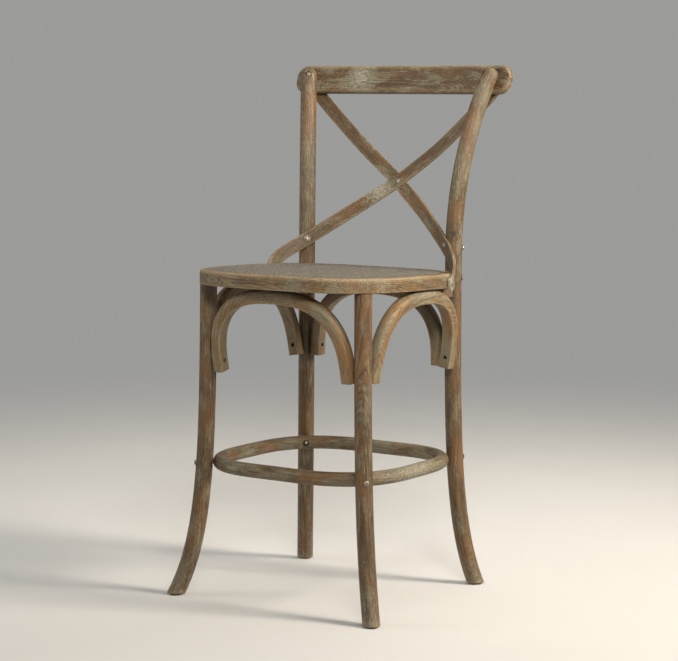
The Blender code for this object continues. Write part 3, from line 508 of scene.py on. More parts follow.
def boolean(mesh, tools, operation="DIFFERENCE"):
    """The mesh after one boolean with each tool mesh, in turn."""
    holder = link("work", mesh)
    helpers = [link("tool", tool) for tool in tools]
    for helper in helpers:
        mod = holder.modifiers.new("cut", "BOOLEAN")
        mod.operation = operation
        mod.solver = "EXACT"
        mod.object = helper
    deps = bpy.context.evaluated_depsgraph_get()
    result = bpy.data.meshes.new_from_object(holder.evaluated_get(deps))
    for obj in [holder, *helpers]:
        bpy.data.objects.remove(obj, do_unlink=True)
    return result


def as_tool(mesh):
    """Give a cutting mesh board facts, so that the faces it leaves have grain too, and painted shade
    that darkens them as recesses.
    """
    # the -0.35 wear is painted shade on the faces the cut leaves
    return paint_by_place(mesh, lambda p: (p.z + 3.0, p.x, p.y, p.x * 0.7 + p.y, -0.35, 0.0))


def rounded(corners, flats, steps=4):
    """Closed outline with filleted corners, as (u, v, wear) points, and `flats[i]` spans on
    the straight run after each corner."""
    out = []
    for i, (u, v, r, wear_and_shade) in enumerate(corners):
        here = Vector((u, v))
        before = Vector(corners[i - 1][:2]) - here
        after = Vector(corners[(i + 1) % len(corners)][:2]) - here
        reach = min(r, before.length * 0.48, after.length * 0.48)
        start, end = here + before.normalized() * reach, here + after.normalized() * reach
        for k in range(steps + 1):
            t = k / steps
            p = start * (1 - t) ** 2 + here * 2 * t * (1 - t) + end * t ** 2
            out.append((p.x, p.y, wear_and_shade * (0.35 + 0.65 * sin(pi * t))))
        nxt = corners[(i + 1) % len(corners)]
        far_reach = min(nxt[2], after.length * 0.48)
        flat = after.length - reach - far_reach
        for k in range(1, flats[i]):
            p = end + after.normalized() * flat * k / flats[i]
            out.append((p.x, p.y, 0.0))
    return out


def swept(frames, outlines, stick, closed=False, planes=None, age=None, knots=()):
    """Sweep outlines (u, v, wear) along frames (centre, along, across, square, s)."""
    rows, facts = [], []
    for i, (centre, along, across, square, s) in enumerate(frames):
        row, known = [], []
        for u, v, wear_and_shade in outlines[i]:
            offset = across * u + square * v
            shift = -offset.dot(planes[i]) / along.dot(planes[i]) if planes else 0.0
            point = centre + offset + along * shift
            row.append(point)
            fact = stick.facts(s + shift, u, v, wear_and_shade, age(point, s) if age else 0.0)
            for knot in knots:
                near = bell((point - knot).length / KNOT_REACH)
                fact = (*fact[:3], fact[3] + 0.010 * near, fact[4] - 2.0 * near ** 4, fact[5])
            known.append(fact)
        rows.append(row)
        facts.append(known)
    if closed:
        rows.pop()
    return skin(rows, facts, closed)


def stick_frames(axis, side, heights, step=0.0005):
    """Untwisted frames up a leg or post, on this side of the stool."""
    flip = Vector((side, 1, 1))
    frames, s = [], 0.0
    across, before = X, None
    for z in heights:
        point = axis(z) * flip
        along = (axis(z + step) * flip - axis(z - step) * flip).normalized()
        across = (across - along * across.dot(along)).normalized()
        s += (point - before).length if before is not None else 0.0
        before = point
        frames.append((point, along, across, along.cross(across), s))
    return frames


def loop_frames(line):
    """Level frames round a closed line, whose last point is its first again."""
    count = len(line) - 1
    frames, s = [], 0.0
    for i, point in enumerate(line):
        along = (line[(i + 1) % count] - line[(i - 1) % count]).normalized()
        s += (point - line[i - 1]).length if i else 0.0
        frames.append((point, along, along.cross(Z), Z, s))
    return frames


def circle(radius, sides, wear_and_shade=0.0):
    """A round section, as (u, v, wear) points."""
    return [(radius * cos(2 * pi * k / sides), radius * sin(2 * pi * k / sides), wear_and_shade)
            for k in range(sides)]


def turned(profile, sides=40):
    """A turned solid from (radius, height) points that run from one end to the other."""
    rows = [[Vector((u, v, z)) for u, v, _ in circle(max(r, 1e-5), sides)] for r, z in profile]
    facts = [[(p.z, p.x, p.y, p.x + 0.013, 0.0, 0.0) for p in row] for row in rows]
    return skin(rows, facts)


def pose(point, direction):
    """Matrix that puts the origin at a point, with +Z along a direction."""
    return Matrix.Translation(point) @ Z.rotation_difference(Vector(direction)).to_matrix().to_4x4()


def bore(places, radius, back, front, sides=40):
    """Round cutters that start `back` behind each point and end `front` past it."""
    bm = bmesh.new()
    middle = Matrix.Translation((0, 0, (front - back) / 2))
    for point, direction in places:
        bmesh.ops.create_cone(bm, cap_ends=True, segments=sides, radius1=radius, radius2=radius,
                              depth=front + back, matrix=pose(point, direction) @ middle)
    return as_tool(from_bmesh(bm, "bore"))


def mirrored(places):
    """Each (point, direction), and its twin on the other side."""
    flips = (Vector((1, 1, 1)), Vector((-1, 1, 1)))
    return [(p * flip, d * flip) for p, d in places for flip in flips]


def spread(low, high, step):
    """Even stations from low to high, about a step apart."""
    count = max(1, round((high - low) / step))
    return [low + (high - low) * i / count for i in range(count + 1)]


# ---------------------------------------------------------------- layout rules
def seat_bottom(y):
    return SEAT_Z + SEAT_SLOPE * y


def front_leg_axis(z):
    x = FRONT_LEG[0] + FRONT_SPLAY[0] * exp(-z / FLARE)
    y = FRONT_LEG[1] + FRONT_SPLAY[1] * exp(-z / FRONT_FLARE_Y)
    return Vector((x, y, z))


def back_post_axis(z):
    lean = max(0.0, (z - RAKE_START) / (TOTAL_TOP - RAKE_START)) ** RAKE_POWER
    flare = exp(-z / FLARE)
    x = BACK_POST[0] + BACK_SPLAY[0] * flare + RAKE[0] * lean
    y = BACK_POST[1] + BACK_SPLAY[1] * flare + RAKE[1] * lean
    return Vector((x, y, z))


def signed_power(value, power):
    return (1 if value > 0 else -1) * abs(value) ** power


def seat_half(sine):
    """Power and depth of the seat's outline behind its widest line, or before it."""
    return (SEAT_POWER_BACK, SEAT_BACK) if sine > 0 else (SEAT_POWER_FRONT, SEAT_FRONT)


def joint_point(inset, a):
    """The seat's outline at its own parameter, where the rim's joints are set out."""
    n, depth = seat_half(sin(a))
    x = (SEAT_W - inset) * signed_power(cos(a), 2 / n)
    return Vector((x, SEAT_MID_Y + (depth - inset) * signed_power(sin(a), 2 / n), 0))


def outline_point(inset, a):
    """The seat's outline in a plan direction from its widest line's middle."""
    n, depth = seat_half(sin(a))
    wide, deep = SEAT_W - inset, depth - inset
    r = (abs(cos(a) / wide) ** n + abs(sin(a) / deep) ** n) ** (-1 / n)
    return Vector((r * cos(a), SEAT_MID_Y + r * sin(a), 0))


def tilt_to_seat(mesh):
    mesh.transform(Matrix(((1, 0, 0, 0), (0, 1, 0, 0), (0, SEAT_SLOPE, 1, SEAT_Z), (0, 0, 0, 1))))
    return mesh


def ring_point(a):
    r = RING_R * (1 + RING_OVAL * cos(2 * a) - RING_SQUARE * cos(4 * a))
    return Vector((r * cos(a), r * sin(a), RING_Z))


# ---------------------------------------------------------------- straps
STRAP_PATH = (
    ((0.2242, 0.0731, 0.6171), (-0.985, -0.10, 0.00)),
    ((0.2178, 0.0971, 0.6278), (-0.94, -0.32, 0.02)),
    ((0.2070, 0.1150, 0.6550), (-0.76, -0.63, 0.10)),
    ((0.1655, 0.1535, 0.6900), (-0.50, -0.85, 0.12)),
    ((0.0880, 0.2020, 0.7480), (-0.30, -0.92, 0.25)),
    ((0.0235, 0.2320, CROSS_Z - 0.0175), (0.00, -0.937, 0.350)),
    ((0.0000, 0.2385, CROSS_Z), (0.00, -0.937, 0.350)),
    ((-0.0235, 0.2450, CROSS_Z + 0.0175), (0.00, -0.937, 0.350)),
    ((-0.0950, 0.2530, 0.8840), (0.12, -0.95, 0.30)),
    ((-0.1850, 0.2560, 0.9660), (0.14, -0.94, 0.30)),
    ((-0.2130, 0.2594, 0.9945), (0.13, -0.93, 0.34)),
    ((-0.2440, 0.2676, 1.0280), (0.13, -0.93, 0.34)),
)
STRAP_STEPS = 15
ROW_POST, ROW_CROSS = 3, 6
END_SCREW_ROW, TOP_SCREW_ROW = 1 / 3, 10 + 2 / 3
STRAP_TIP = 0.0045


def catmull(rows, steps):
    """Points of a smooth curve through the rows, `steps` to each stretch."""
    ext = [rows[0] * 2 - rows[1]] + rows + [rows[-1] * 2 - rows[-2]]
    out = []
    for i in range(1, len(ext) - 2):
        p0, p1, p2, p3 = ext[i - 1:i + 3]
        for k in range(steps):
            t = k / steps
            out.append(0.5 * (2 * p1 + (p2 - p0) * t + (2 * p0 - 5 * p1 + 4 * p2 - p3) * t * t
                              + (3 * p1 - p0 - 3 * p2 + p3) * t ** 3))
    out.append(rows[-1])
    return out


def strap_frames(side):
    """(centre, along, edge, face, s) up the strap whose low end is on this side."""
    flip = Vector((side, 1, 1))
    centres = catmull([Vector(p) for p, _ in STRAP_PATH], STRAP_STEPS)
    faces = catmull([Vector(n) for _, n in STRAP_PATH], STRAP_STEPS)
    frames, s = [], 0.0
    for i, centre in enumerate(centres):
        ahead = centres[min(i + 1, len(centres) - 1)]
        along = (ahead - centres[max(i - 1, 0)]).normalized()
        face = (faces[i] - along * faces[i].dot(along)).normalized()
        s += (centre - centres[i - 1]).length if i else 0.0
        frames.append(tuple(w * flip for w in (centre, along, face.cross(along), face)) + (s,))
    return frames


def strap_at(row):
    """Centre and back direction at a path row, on the +X side strap."""
    frame_there = strap_frames(1)[round(row * STRAP_STEPS)]
    return frame_there[0], -frame_there[3]


def strap_solid(side, front, back, width, rows=None, radius=0.0, stick=Stick(0), age=None):
    """A strap or a cutter for one: from `front` before to `back` behind its middle surface."""
    frames = strap_frames(side)
    if rows:
        frames = frames[rows[0]:rows[1]]
    outlines = []
    for *_, s in frames:
        half = width / 2
        if radius:
            near = min(s, frames[-1][4] - s) / STRAP_TIP
            half -= STRAP_TIP * (1 - (1 - max(0.0, 1 - near) ** 2) ** 0.5)
        outlines.append(rounded([(half, front, radius, 1.0), (-half, front, radius, 1.0),
                                 (-half, -back, radius, 0.7), (half, -back, radius, 0.7)],
                                (6, 2, 6, 2)) if radius else
                        [(half, front, 0), (-half, front, 0), (-half, -back, 0), (half, -back, 0)])
    return swept(frames, outlines, stick, age=age)


# ---------------------------------------------------------------- arches
class Arch:
    """One arch: feet beside two legs, crown under the seat, leaning out by `lean`."""

    def __init__(self, name, half_span, top, foot, lean, turn):
        self.name = name
        self.half_span = half_span
        self.top = top
        place = Matrix.Translation((foot[0], foot[1], ARCH_FOOT_Z))
        self.matrix = (place @ Matrix.Rotation(turn, 4, "Z") @ Matrix.Rotation(lean, 4, "X")
                       @ Matrix.Translation((0, 0, -ARCH_FOOT_Z)) @ Matrix.Rotation(pi / 2, 4, "X"))

    def local(self, along, up, out=0.0):
        return self.matrix @ Vector((along, up, out))

    def direction(self, along, up, out=0.0):
        return (self.matrix.to_3x3() @ Vector((along, up, out))).normalized()

    def path(self):
        """Closely spaced (along, up) points from foot to foot."""
        rise = self.top - ARCH_T / 2 - ARCH_SPRING_Z
        points = [(self.half_span, ARCH_FOOT_Z + 0.002 * i) for i in range(6)]
        for i in range(361):
            a = pi * i / 360
            across = signed_power(cos(a), 2 / ARCH_POWER)
            points.append((self.half_span * across,
                           ARCH_SPRING_Z + rise * max(0.0, sin(a)) ** (2 / ARCH_POWER)))
        points += [(-self.half_span, ARCH_FOOT_Z + 0.002 * i) for i in reversed(range(6))]
        return even([Vector(p) for p in points], 0.0038)

    def foot_screws(self):
        out = []
        for s in (1, -1):
            along = s * (self.half_span - ARCH_T / 2)
            out.append((self.local(along, ARCH_FOOT_Z + ARCH_SCREW_UP), self.direction(s, 0)))
        return out

    def top_screw(self):
        return (self.local(0, self.top - ARCH_T), self.direction(0, 1))


def even(points, step):
    """The same polyline with points at even spacing."""
    marks = [0.0]
    for a, b in zip(points, points[1:]):
        marks.append(marks[-1] + (b - a).length)
    out, k = [], 0
    for mark in spread(0.0, marks[-1], step):
        while k < len(points) - 2 and marks[k + 1] < mark:
            k += 1
        length = max(1e-9, marks[k + 1] - marks[k])
        out.append(points[k].lerp(points[k + 1], min(1.0, (mark - marks[k]) / length)))
    return out


FOOT_REACH = ROUND_R + GAP + ARCH_T / 2
SIDE_SPAN = (BACK_POST[1] - FRONT_LEG[1] + 0.0020) / 2 - FOOT_REACH
SIDE_MID_Y = (FRONT_LEG[1] - 0.0007 + BACK_POST[1] + 0.0018) / 2
ARCHES = (
    Arch("arch_front", FRONT_LEG[0] + 0.0017 - FOOT_REACH, 0.6215, (0, -0.1655), radians(12.5), 0),
    Arch("arch_back", BACK_POST[0] + 0.0011 - FOOT_REACH, 0.6098, (0, 0.1670), radians(-1.5), pi),
    Arch("arch_left", SIDE_SPAN, 0.6160, (0.1800, SIDE_MID_Y), radians(9.7), pi / 2),
    Arch("arch_right", SIDE_SPAN, 0.6160, (-0.1800, SIDE_MID_Y), radians(9.7), -pi / 2),
)
ARCH_STICKS = {
    "arch_front": Stick(21, (0.030, 0.012), (0.03, 0.02), dives=((0.16, 0.03, 0.010),
                                                                (0.33, 0.05, 0.016))),
    "arch_back": Stick(22, (0.045, -0.020), (0.04, 0.03), dives=((0.06, 0.03, 0.020),)),
    "arch_left": Stick(23, (0.012, 0.010), (0.03, 0.03), dives=((0.07, 0.05, 0.034),
                                                               (0.40, 0.04, 0.020))),
    "arch_right": Stick(24, (0.018, -0.012), (0.03, -0.02), dives=((0.08, 0.05, 0.026),
                                                                 (0.42, 0.04, 0.020))),
}
SINK = 0.0075                # depth of an arch screw's head in the wood


def arch_outline(trim=0.0):
    half, t = ARCH_D / 2 - trim, ARCH_T / 2 - trim
    return rounded([(t, half, ARCH_EDGE_R * 1.25, 0.12), (-t, half, 0.0032, 0.75),
                    (-t, -half, 0.0032, 0.75), (t, -half, ARCH_EDGE_R * 1.25, 0.12)],
                   (3, 5, 3, 2), steps=6)


def add_arches():
    for arch in ARCHES:
        path = arch.path()
        square = arch.direction(0, 0, 1)
        frames, s = [], 0.0
        for i, (along, up) in enumerate(path):
            way = (path[min(i + 1, len(path) - 1)] - path[max(i - 1, 0)]).normalized()
            s += (path[i] - path[i - 1]).length if i else 0.0
            out = Vector((way.y, -way.x))
            frames.append((arch.local(along, up), arch.direction(*way), arch.direction(*out),
                           square, s))
        full, small = arch_outline(), arch_outline(0.0009)
        outlines = [small] + [full] * (len(frames) - 2) + [small]
        frames[1] = (frames[0][0].lerp(frames[1][0], 0.25), *frames[1][1:4], 0.001)
        frames[-2] = (frames[-1][0].lerp(frames[-2][0], 0.25), *frames[-2][1:4], frames[-1][4] - 0.001)
        crown = arch.local(0, arch.top)
        mesh = swept(frames, outlines, ARCH_STICKS[arch.name],
                     age=lambda p, s: 0.35 * bell((p - crown).length / 0.05))
        wells = [bore(places, ARCH_SCREW_HEAD_R + GAP, CUT_SPARE, SINK + 0.004)
                 for places in (arch.foot_screws(), [arch.top_screw()])]
        add_piece(arch.name + "_bent", boolean(mesh, wells), "arch_wood", arch.name)


# ---------------------------------------------------------------- legs and posts
def round_stick(axis, side, heights, radii, stick, leveled=0.030, age=None, sides=44, knots=()):
    """A bent round stick whose foot is cut level with the floor."""
    frames = stick_frames(axis, side, heights)
    planes = []
    for _, along, _, _, s in frames:
        level = max(0.0, 1 - s / leveled)
        planes.append((along * (1 - level) + Z * level).normalized())
    outlines = [circle(r, sides, 0.5 if i < 3 else 0.0) for i, r in enumerate(radii)]
    return swept(frames, outlines, stick, planes=planes, age=age, knots=knots)


def foot_age(point, s):
    """Grey, scuffed feet."""
    return 0.34 * exp(-s / 0.07)


def post_age(point, s):
    """Grey feet, and posts that pale above the seat."""
    return foot_age(point, s) + 0.17 / (1 + exp((0.70 - point.z) / 0.04))


def add_front_legs():
    top = seat_bottom(FRONT_LEG[1] + ROUND_R) - GAP
    heights = [FOOT_Z, FOOT_Z + 0.0012] + spread(0.008, top - 0.006, 0.006) + [top - 0.0006, top]
    radii = [ROUND_R - 0.0012] + [ROUND_R] * (len(heights) - 2) + [ROUND_R - 0.0006]
    heights += [top, top + TENON_LEN - 0.0008, top + TENON_LEN]
    radii += [TENON_R, TENON_R, TENON_R - 0.0008]
    sticks = {1: Stick(1, (0.004, -0.030), (0.01, 0.02), dives=((0.43, 0.05, 0.014),)),
              -1: Stick(2, (0.040, 0.012), (0.05, 0.02), dives=((0.25, 0.06, 0.012),))}
    for word, side in SIDES:
        mesh = round_stick(front_leg_axis, side, heights, radii, sticks[side], age=foot_age)
        add_piece("leg_front_" + word, mesh, "leg_wood", "front_leg_" + word)


KNOTS = {1: (Vector((0.1826, 0.1572, 0.714)), Vector((0.206, 0.215, 1.012))),
         -1: (Vector((-0.170, 0.158, 0.552)),)}
KNOT_REACH = 0.00924         # how far a knot bends the grain round it


def add_back_posts(beds, wells):
    heights = [FOOT_Z, FOOT_Z + 0.0012] + spread(0.008, TOTAL_TOP - CROWN, 0.0042)
    radii = [ROUND_R - 0.0012] + [ROUND_R] * (len(heights) - 1)
    for i in range(1, 9):
        past = sin(pi / 2 * i / 8)
        heights.append(TOTAL_TOP - CROWN + CROWN * past)
        radii.append(ROUND_R * max(0.30, (1 - past ** 2) ** 0.4))
    sticks = {1: Stick(3, (0.030, 0.010), (0.02, 0.03), dives=((0.30, 0.06, 0.014),
                                                              (0.80, 0.05, 0.016))),
              -1: Stick(4, (0.035, -0.020), (0.04, 0.02), dives=((0.62, 0.07, 0.014),))}
    for word, side in SIDES:
        mesh = round_stick(back_post_axis, side, heights, radii, sticks[side], age=post_age,
                           knots=KNOTS[side])
        mesh = boolean(mesh, [beds[side], wells])
        add_piece("post_back_" + word, mesh, "leg_wood", "back_post_" + word)


def post_tool(side):
    """Cutter for what a back post passes through."""
    heights = spread(0.54, 0.70, 0.008) + spread(0.72, TOTAL_TOP + 0.004, 0.01)
    frames = stick_frames(back_post_axis, side, heights)
    outline = circle(ROUND_R + GAP, 44)
    return as_tool(swept(frames, [outline] * len(frames), Stick(0)))


# ---------------------------------------------------------------- footrest
def add_ring(bolts, through):
    count = 340
    frames = loop_frames([ring_point(2 * pi * i / count - 0.35) for i in range(count + 1)])
    outlines = [circle(RING_TUBE_R, 40)] * len(frames)
    # a pale patina patch on the ring's right side, also painted highlight where the key light falls on
    # that side
    patina_and_highlight = ring_point(radians(-8))
    stick = Stick(11, (0.030, 0.015), (0.0, 0.0), dives=((0.30, 0.05, 0.012), (0.62, 0.05, -0.012),
                                                        (1.00, 0.06, 0.010)))
    mesh = swept(frames, outlines, stick, closed=True,
                 age=lambda p, s: 0.62 * bell((p - patina_and_highlight).length / 0.09))
    wells = bore(past(bolts, through), RING_WELL_R, 0.0, 0.02)
    add_piece("footrest_bent_ring", boolean(mesh, [wells]), "ring_wood", "footrest_ring")


# ---------------------------------------------------------------- seat
FINGER = 0.0110
FINGER_COUNT = 4
KERF = 0.0005
KERF_REACH = 0.0340
JOINTS = {"front": radians(-36), "back": radians(58)}
RIM_STICKS = {
    "front": (Stick(31, (-0.236, 0.008), (0.0, 0.0), dives=((0.055, 0.035, 0.020),)), 0),
    "back": (Stick(32, (-0.180, 0.020), (0.0, 0.0), dives=((0.0, 0.05, 0.014),)), 0),
    "left": (Stick(33, (-0.212, 0.016), (0.0, 0.0), dives=((-0.02, 0.05, 0.018),)), 1),
    "right": (Stick(34, (-0.212, 0.018), (0.0, 0.0), dives=((-0.06, 0.05, 0.014),)), 1),
}


def rim_outline():
    deep = SEAT_THICK - RABBET - 0.0035
    low = SEAT_THICK - RABBET
    return rounded([(0, 0, 0.0022, 0), (0, SEAT_THICK, 0.0062, 0), (CANE_EDGE, SEAT_THICK, 0.0012, 0),
                    (CANE_EDGE, deep, 0.0004, 0), (CANE_EDGE + GROOVE_W, deep, 0.0004, 0),
                    (CANE_EDGE + GROOVE_W, low, 0.0005, 0), (RIM, low, 0.0008, 0),
                    (RIM, 0, 0.0015, 0)], (5, 7, 2, 2, 2, 2, 5, 10), steps=5)


def kerf(a, side):
    """Zigzag slot across the rim that parts two of its pieces."""
    middle = joint_point(RIM / 2, a)
    along = joint_point(RIM / 2, a + 0.02) - joint_point(RIM / 2, a - 0.02)
    teeth = FINGER_COUNT * 2 + 2
    step = SEAT_THICK * 1.25 / (teeth - 1)
    zig = [((FINGER / 2) * (1 if i % 2 else -1), -0.003 + i * step) for i in range(teeth)]
    loop = [(u - KERF / 2, v) for u, v in zig] + [(u + KERF / 2, v) for u, v in reversed(zig)]
    turn = Matrix.Translation(middle) @ Matrix.Rotation(atan2(along.y, along.x), 4, "Z")
    flip = Vector((side, 1, 1))
    rows = [[(turn @ Vector((u, w, v))) * flip for u, v in loop] for w in (-KERF_REACH, KERF_REACH)]
    return as_tool(tilt_to_seat(skin(rows)))


def loose_bodies(mesh):
    """Each separate body of a mesh, as a mesh of its own with the same maps."""
    bm = bmesh.new()
    bm.from_mesh(mesh)
    group = {}
    for seed in bm.verts:
        if seed.index in group:
            continue
        edge = [seed]
        group[seed.index] = seed.index
        while edge:
            for rim_edge in edge.pop().link_edges:
                for vert in rim_edge.verts:
                    if vert.index not in group:
                        group[vert.index] = seed.index
                        edge.append(vert)
    bm.free()
    bodies = []
    for key in sorted(set(group.values())):
        part = bmesh.new()
        part.from_mesh(mesh)
        extra = [v for v in part.verts if group[v.index] != key]
        bmesh.ops.delete(part, geom=extra, context="VERTS")
        bodies.append(from_bmesh(part, "body"))
    return bodies


def rim_rule(word):
    """Board facts by place for one of the rim's pieces, worn along its edges, with painted shade on its
    faces under and beside the cane.
    """
    stick, turn = RIM_STICKS[word]

    def rule(p):
        height = p.z - seat_bottom(p.y)
        n, depth = seat_half(p.y - SEAT_MID_Y)
        inset = SEAT_W * (1 - (abs(p.x / SEAT_W) ** n + abs((p.y - SEAT_MID_Y) / depth) ** n) ** (1 / n))
        top_edge = bell(inset / 0.005) * bell((SEAT_THICK - height) / 0.0050)
        low_edge = bell(inset / 0.003) * bell(height / 0.0026)
        # painted shade in the groove, on the rabbet under the cane, on the inner wall and underneath
        inner_shade = -0.5 if CANE_EDGE - 0.0008 < inset < RIM and height < SEAT_THICK - 0.001 else 0.0
        wear_and_shade = min(1.0, top_edge * 1.3 + low_edge * 0.7) + inner_shade
        s, u = (p.y, p.x) if turn else (p.x, p.y)
        return stick.facts(s, abs(u), height, wear_and_shade, 0.12 if height > SEAT_THICK - 0.002 else 0.0)
    return rule


def add_seat(tools):
    outline = rim_outline()
    rows = []
    for i in range(440):
        a = 2 * pi * (i + 0.5) / 440
        rows.append([outline_point(inset, a) + Z * height for inset, height, _ in outline])
    whole = tilt_to_seat(skin(rows, closed=True))
    kerfs = [kerf(a, side) for a in JOINTS.values() for _, side in SIDES]
    whole = boolean(whole, kerfs + tools)
    for body in loose_bodies(whole):
        centre = sum((v.co for v in body.vertices), Vector()) / len(body.vertices)
        if abs(centre.x) > 0.1:
            word = "left" if centre.x > 0 else "right"
        else:
            word = "front" if centre.y < 0 else "back"
        add_piece("rim_" + word, paint_by_place(body, rim_rule(word)), "seat_wood",
                  "seat_rim_" + word, sharp=32)


CANE_PITCH = 0.0056
CANE_W = 0.0049
CANE_T = 0.0021              # a strand is 0.84 of this thick
CANE_RISE = 0.0019           # how far a strand climbs over the next
CANE_ROWS = 80               # more rows than the seat has on either side
CANE_SHORTEST = 0.02
# each point is (across, up, rim): rim 1 marks the sides and underside that take painted shade
CANE_SECTION = ((-0.5, 0.0, 1.0), (-0.22, 0.42, 0.0), (0.22, 0.42, 0.0), (0.5, 0.0, 1.0),
                (0.0, -0.42, 1.0))


def outline_half_width(y, inset):
    """Half the seat outline's width at a depth, and 0 outside it."""
    n, depth = seat_half(y - SEAT_MID_Y)
    t = abs(y - SEAT_MID_Y) / (depth - inset)
    return (SEAT_W - inset) * (1 - t ** n) ** (1 / n) if t < 1 else 0.0


def outline_reach(x, inset):
    """Lowest and highest y of the seat outline at an x."""
    out = []
    for n, depth, sign in ((SEAT_POWER_FRONT, SEAT_FRONT, -1), (SEAT_POWER_BACK, SEAT_BACK, 1)):
        t = min(1.0, abs(x) / (SEAT_W - inset))
        out.append(SEAT_MID_Y + sign * (depth - inset) * (1 - t ** n) ** (1 / n))
    return out


def cane_strand(fixed, low, high, lengthwise, number):
    """One strand, over and under the strands that cross it."""
    first, last = round(low / CANE_PITCH * 2), round(high / CANE_PITCH * 2)
    rows, facts = [], []
    shade = 0.5 + 0.5 * noise.noise(Vector((number * 3.7, 1.0 if lengthwise else 9.0, 0.0)))
    base = SEAT_THICK - RABBET + 0.0014
    for k in range(first, last + 1):
        at = min(high, max(low, k * CANE_PITCH / 2))
        phase = pi * at / CANE_PITCH + pi * number + (pi if lengthwise else 0.0)
        lift = CANE_RISE * 0.5 * (1 + cos(phase))
        sink = -0.0010 * max(0.0, 1 - min(at - low, high - at) / 0.004)
        row, known = [], []
        for w, h, rim in CANE_SECTION:
            across = fixed + w * CANE_W
            height = base + lift + sink + h * CANE_T
            p = Vector((across, at, height)) if lengthwise else Vector((at, across, height))
            row.append(p)
            known.append((at, w * CANE_W, p.y + p.x, number * 0.1, rim, shade))
        rows.append(row)
        facts.append(known)
    return rows, facts


def add_cane():
    """Close plain weave: strands front to back over and under strands side to side."""
    inset = CANE_EDGE + 0.0012
    reach = int((SEAT_W - inset) / CANE_PITCH)
    strands = []
    for i in range(-reach, reach + 1):
        low, high = outline_reach(i * CANE_PITCH, inset)
        strands.append(cane_strand(i * CANE_PITCH, low, high, True, i))
    for j in range(-CANE_ROWS, CANE_ROWS):
        half = outline_half_width(j * CANE_PITCH, inset)
        if half > CANE_SHORTEST:
            strands.append(cane_strand(j * CANE_PITCH, -half, half, False, j))
    mesh = skins([strand for strand in strands if len(strand[0]) > 2])
    add_piece("woven_cane", tilt_to_seat(mesh), "cane", "cane_panel", sharp=70)


def add_spline():
    middle, height = CANE_EDGE + GROOVE_W / 2, SEAT_THICK - SPLINE_R - 0.0006
    count = 360
    frames = loop_frames([outline_point(middle, 2 * pi * i / count) + Z * height
                          for i in range(count + 1)])
    mesh = swept(frames, [circle(SPLINE_R, 14)] * len(frames), Stick(41), closed=True)
    add_piece("cane_cord", tilt_to_seat(mesh), "cane_spline", "cane_spline", sharp=60)


BLOCK_LOW = 0.5880
BLOCK_X = (0.1500, 0.1840)
BLOCK_Y = (0.1180, 0.1600)


def add_corner_blocks(post_tools):
    top = seat_bottom(BLOCK_Y[1]) - GAP
    for word, side in SIDES:
        bm = bmesh.new()
        bmesh.ops.create_cube(bm, size=1.0)
        size = Vector((BLOCK_X[1] - BLOCK_X[0], BLOCK_Y[1] - BLOCK_Y[0], top - BLOCK_LOW))
        bmesh.ops.scale(bm, vec=size, verts=bm.verts)
        bmesh.ops.bevel(bm, geom=bm.edges, offset=0.0015, segments=3, profile=0.5, affect="EDGES")
        mesh = from_bmesh(bm, "block")
        centre = Vector((side * sum(BLOCK_X) / 2, sum(BLOCK_Y) / 2, (top + BLOCK_LOW) / 2))
        mesh.transform(Matrix.Translation(centre))
        mesh = boolean(as_tool(mesh), [post_tools[side]])
        add_piece("glue_block_" + word, mesh, "block_wood", "corner_block_" + word, sharp=30)


# ---------------------------------------------------------------- top rail
def rail_frame(x):
    """Middle of the rail at an x, and its direction there."""
    y = RAIL_END_Y + RAIL_BOW * (1 - (x / RAIL_HALF) ** 2)
    slope = -2 * RAIL_BOW * x / RAIL_HALF ** 2
    return Vector((x, y, RAIL_Z)), Vector((1, slope, 0)).normalized()


def add_rail(tools):
    up = Vector((0, sin(RAIL_RAKE), cos(RAIL_RAKE)))
    span = RAIL_HALF - RAIL_END_R
    ends = [RAIL_END_R * (1 - cos(pi / 2 * k / 12)) for k in range(12)]
    stations = [-RAIL_HALF + 0.0003 + e for e in ends] + spread(-span, span, 0.006)
    stations += [RAIL_HALF - 0.0003 - e for e in reversed(ends)]
    frames, outlines = [], []
    for x in stations:
        centre, along = rail_frame(x)
        past = max(0.0, abs(x) - span) / RAIL_END_R
        lost = RAIL_END_R * (1 - max(0.0, 1 - past ** 2) ** 0.5)
        half_h, half_t = RAIL_H / 2 - lost, RAIL_T / 2 * (1 - 0.35 * past ** 4)
        r = min(RAIL_EDGE_R * 1.25, half_t * 0.8)
        frames.append((centre, along, up, up.cross(along).normalized(), x + 0.3))
        outlines.append(rounded([(half_h, half_t, r, 1.0), (-half_h, half_t, r, 0.6),
                                 (-half_h, -half_t, r, 0.6), (half_h, -half_t, r, 1.0)],
                                (12, 3, 12, 3), steps=5))
    stick = Stick(12, (0.012, 0.006), (0.03, 0.01), wander=0.010, dives=((0.145, 0.035, 0.034),
                                                                       (0.45, 0.05, 0.016)))
    pale = rail_frame(-0.105)[0] + up * 0.004
    mesh = swept(frames, outlines, stick,
                 age=lambda p, s: 0.85 * bell((p - pale).length / 0.028))
    add_piece("rail_top", boolean(mesh, tools), "rail_wood", "top_rail")


# ---------------------------------------------------------------- fasteners
def dome_head(radius, height, shank, length):
    """Dome with a fine rolled edge and a straight shank."""
    crown = [(radius * sin(pi / 2 * k / 9), 0.3 * height + 0.7 * height * cos(pi / 2 * k / 9))
             for k in range(10)]
    return crown + [(radius, 0.16 * height), (radius - 0.0003, BED), (shank, BED),
                    (shank, -length), (0, -length)]


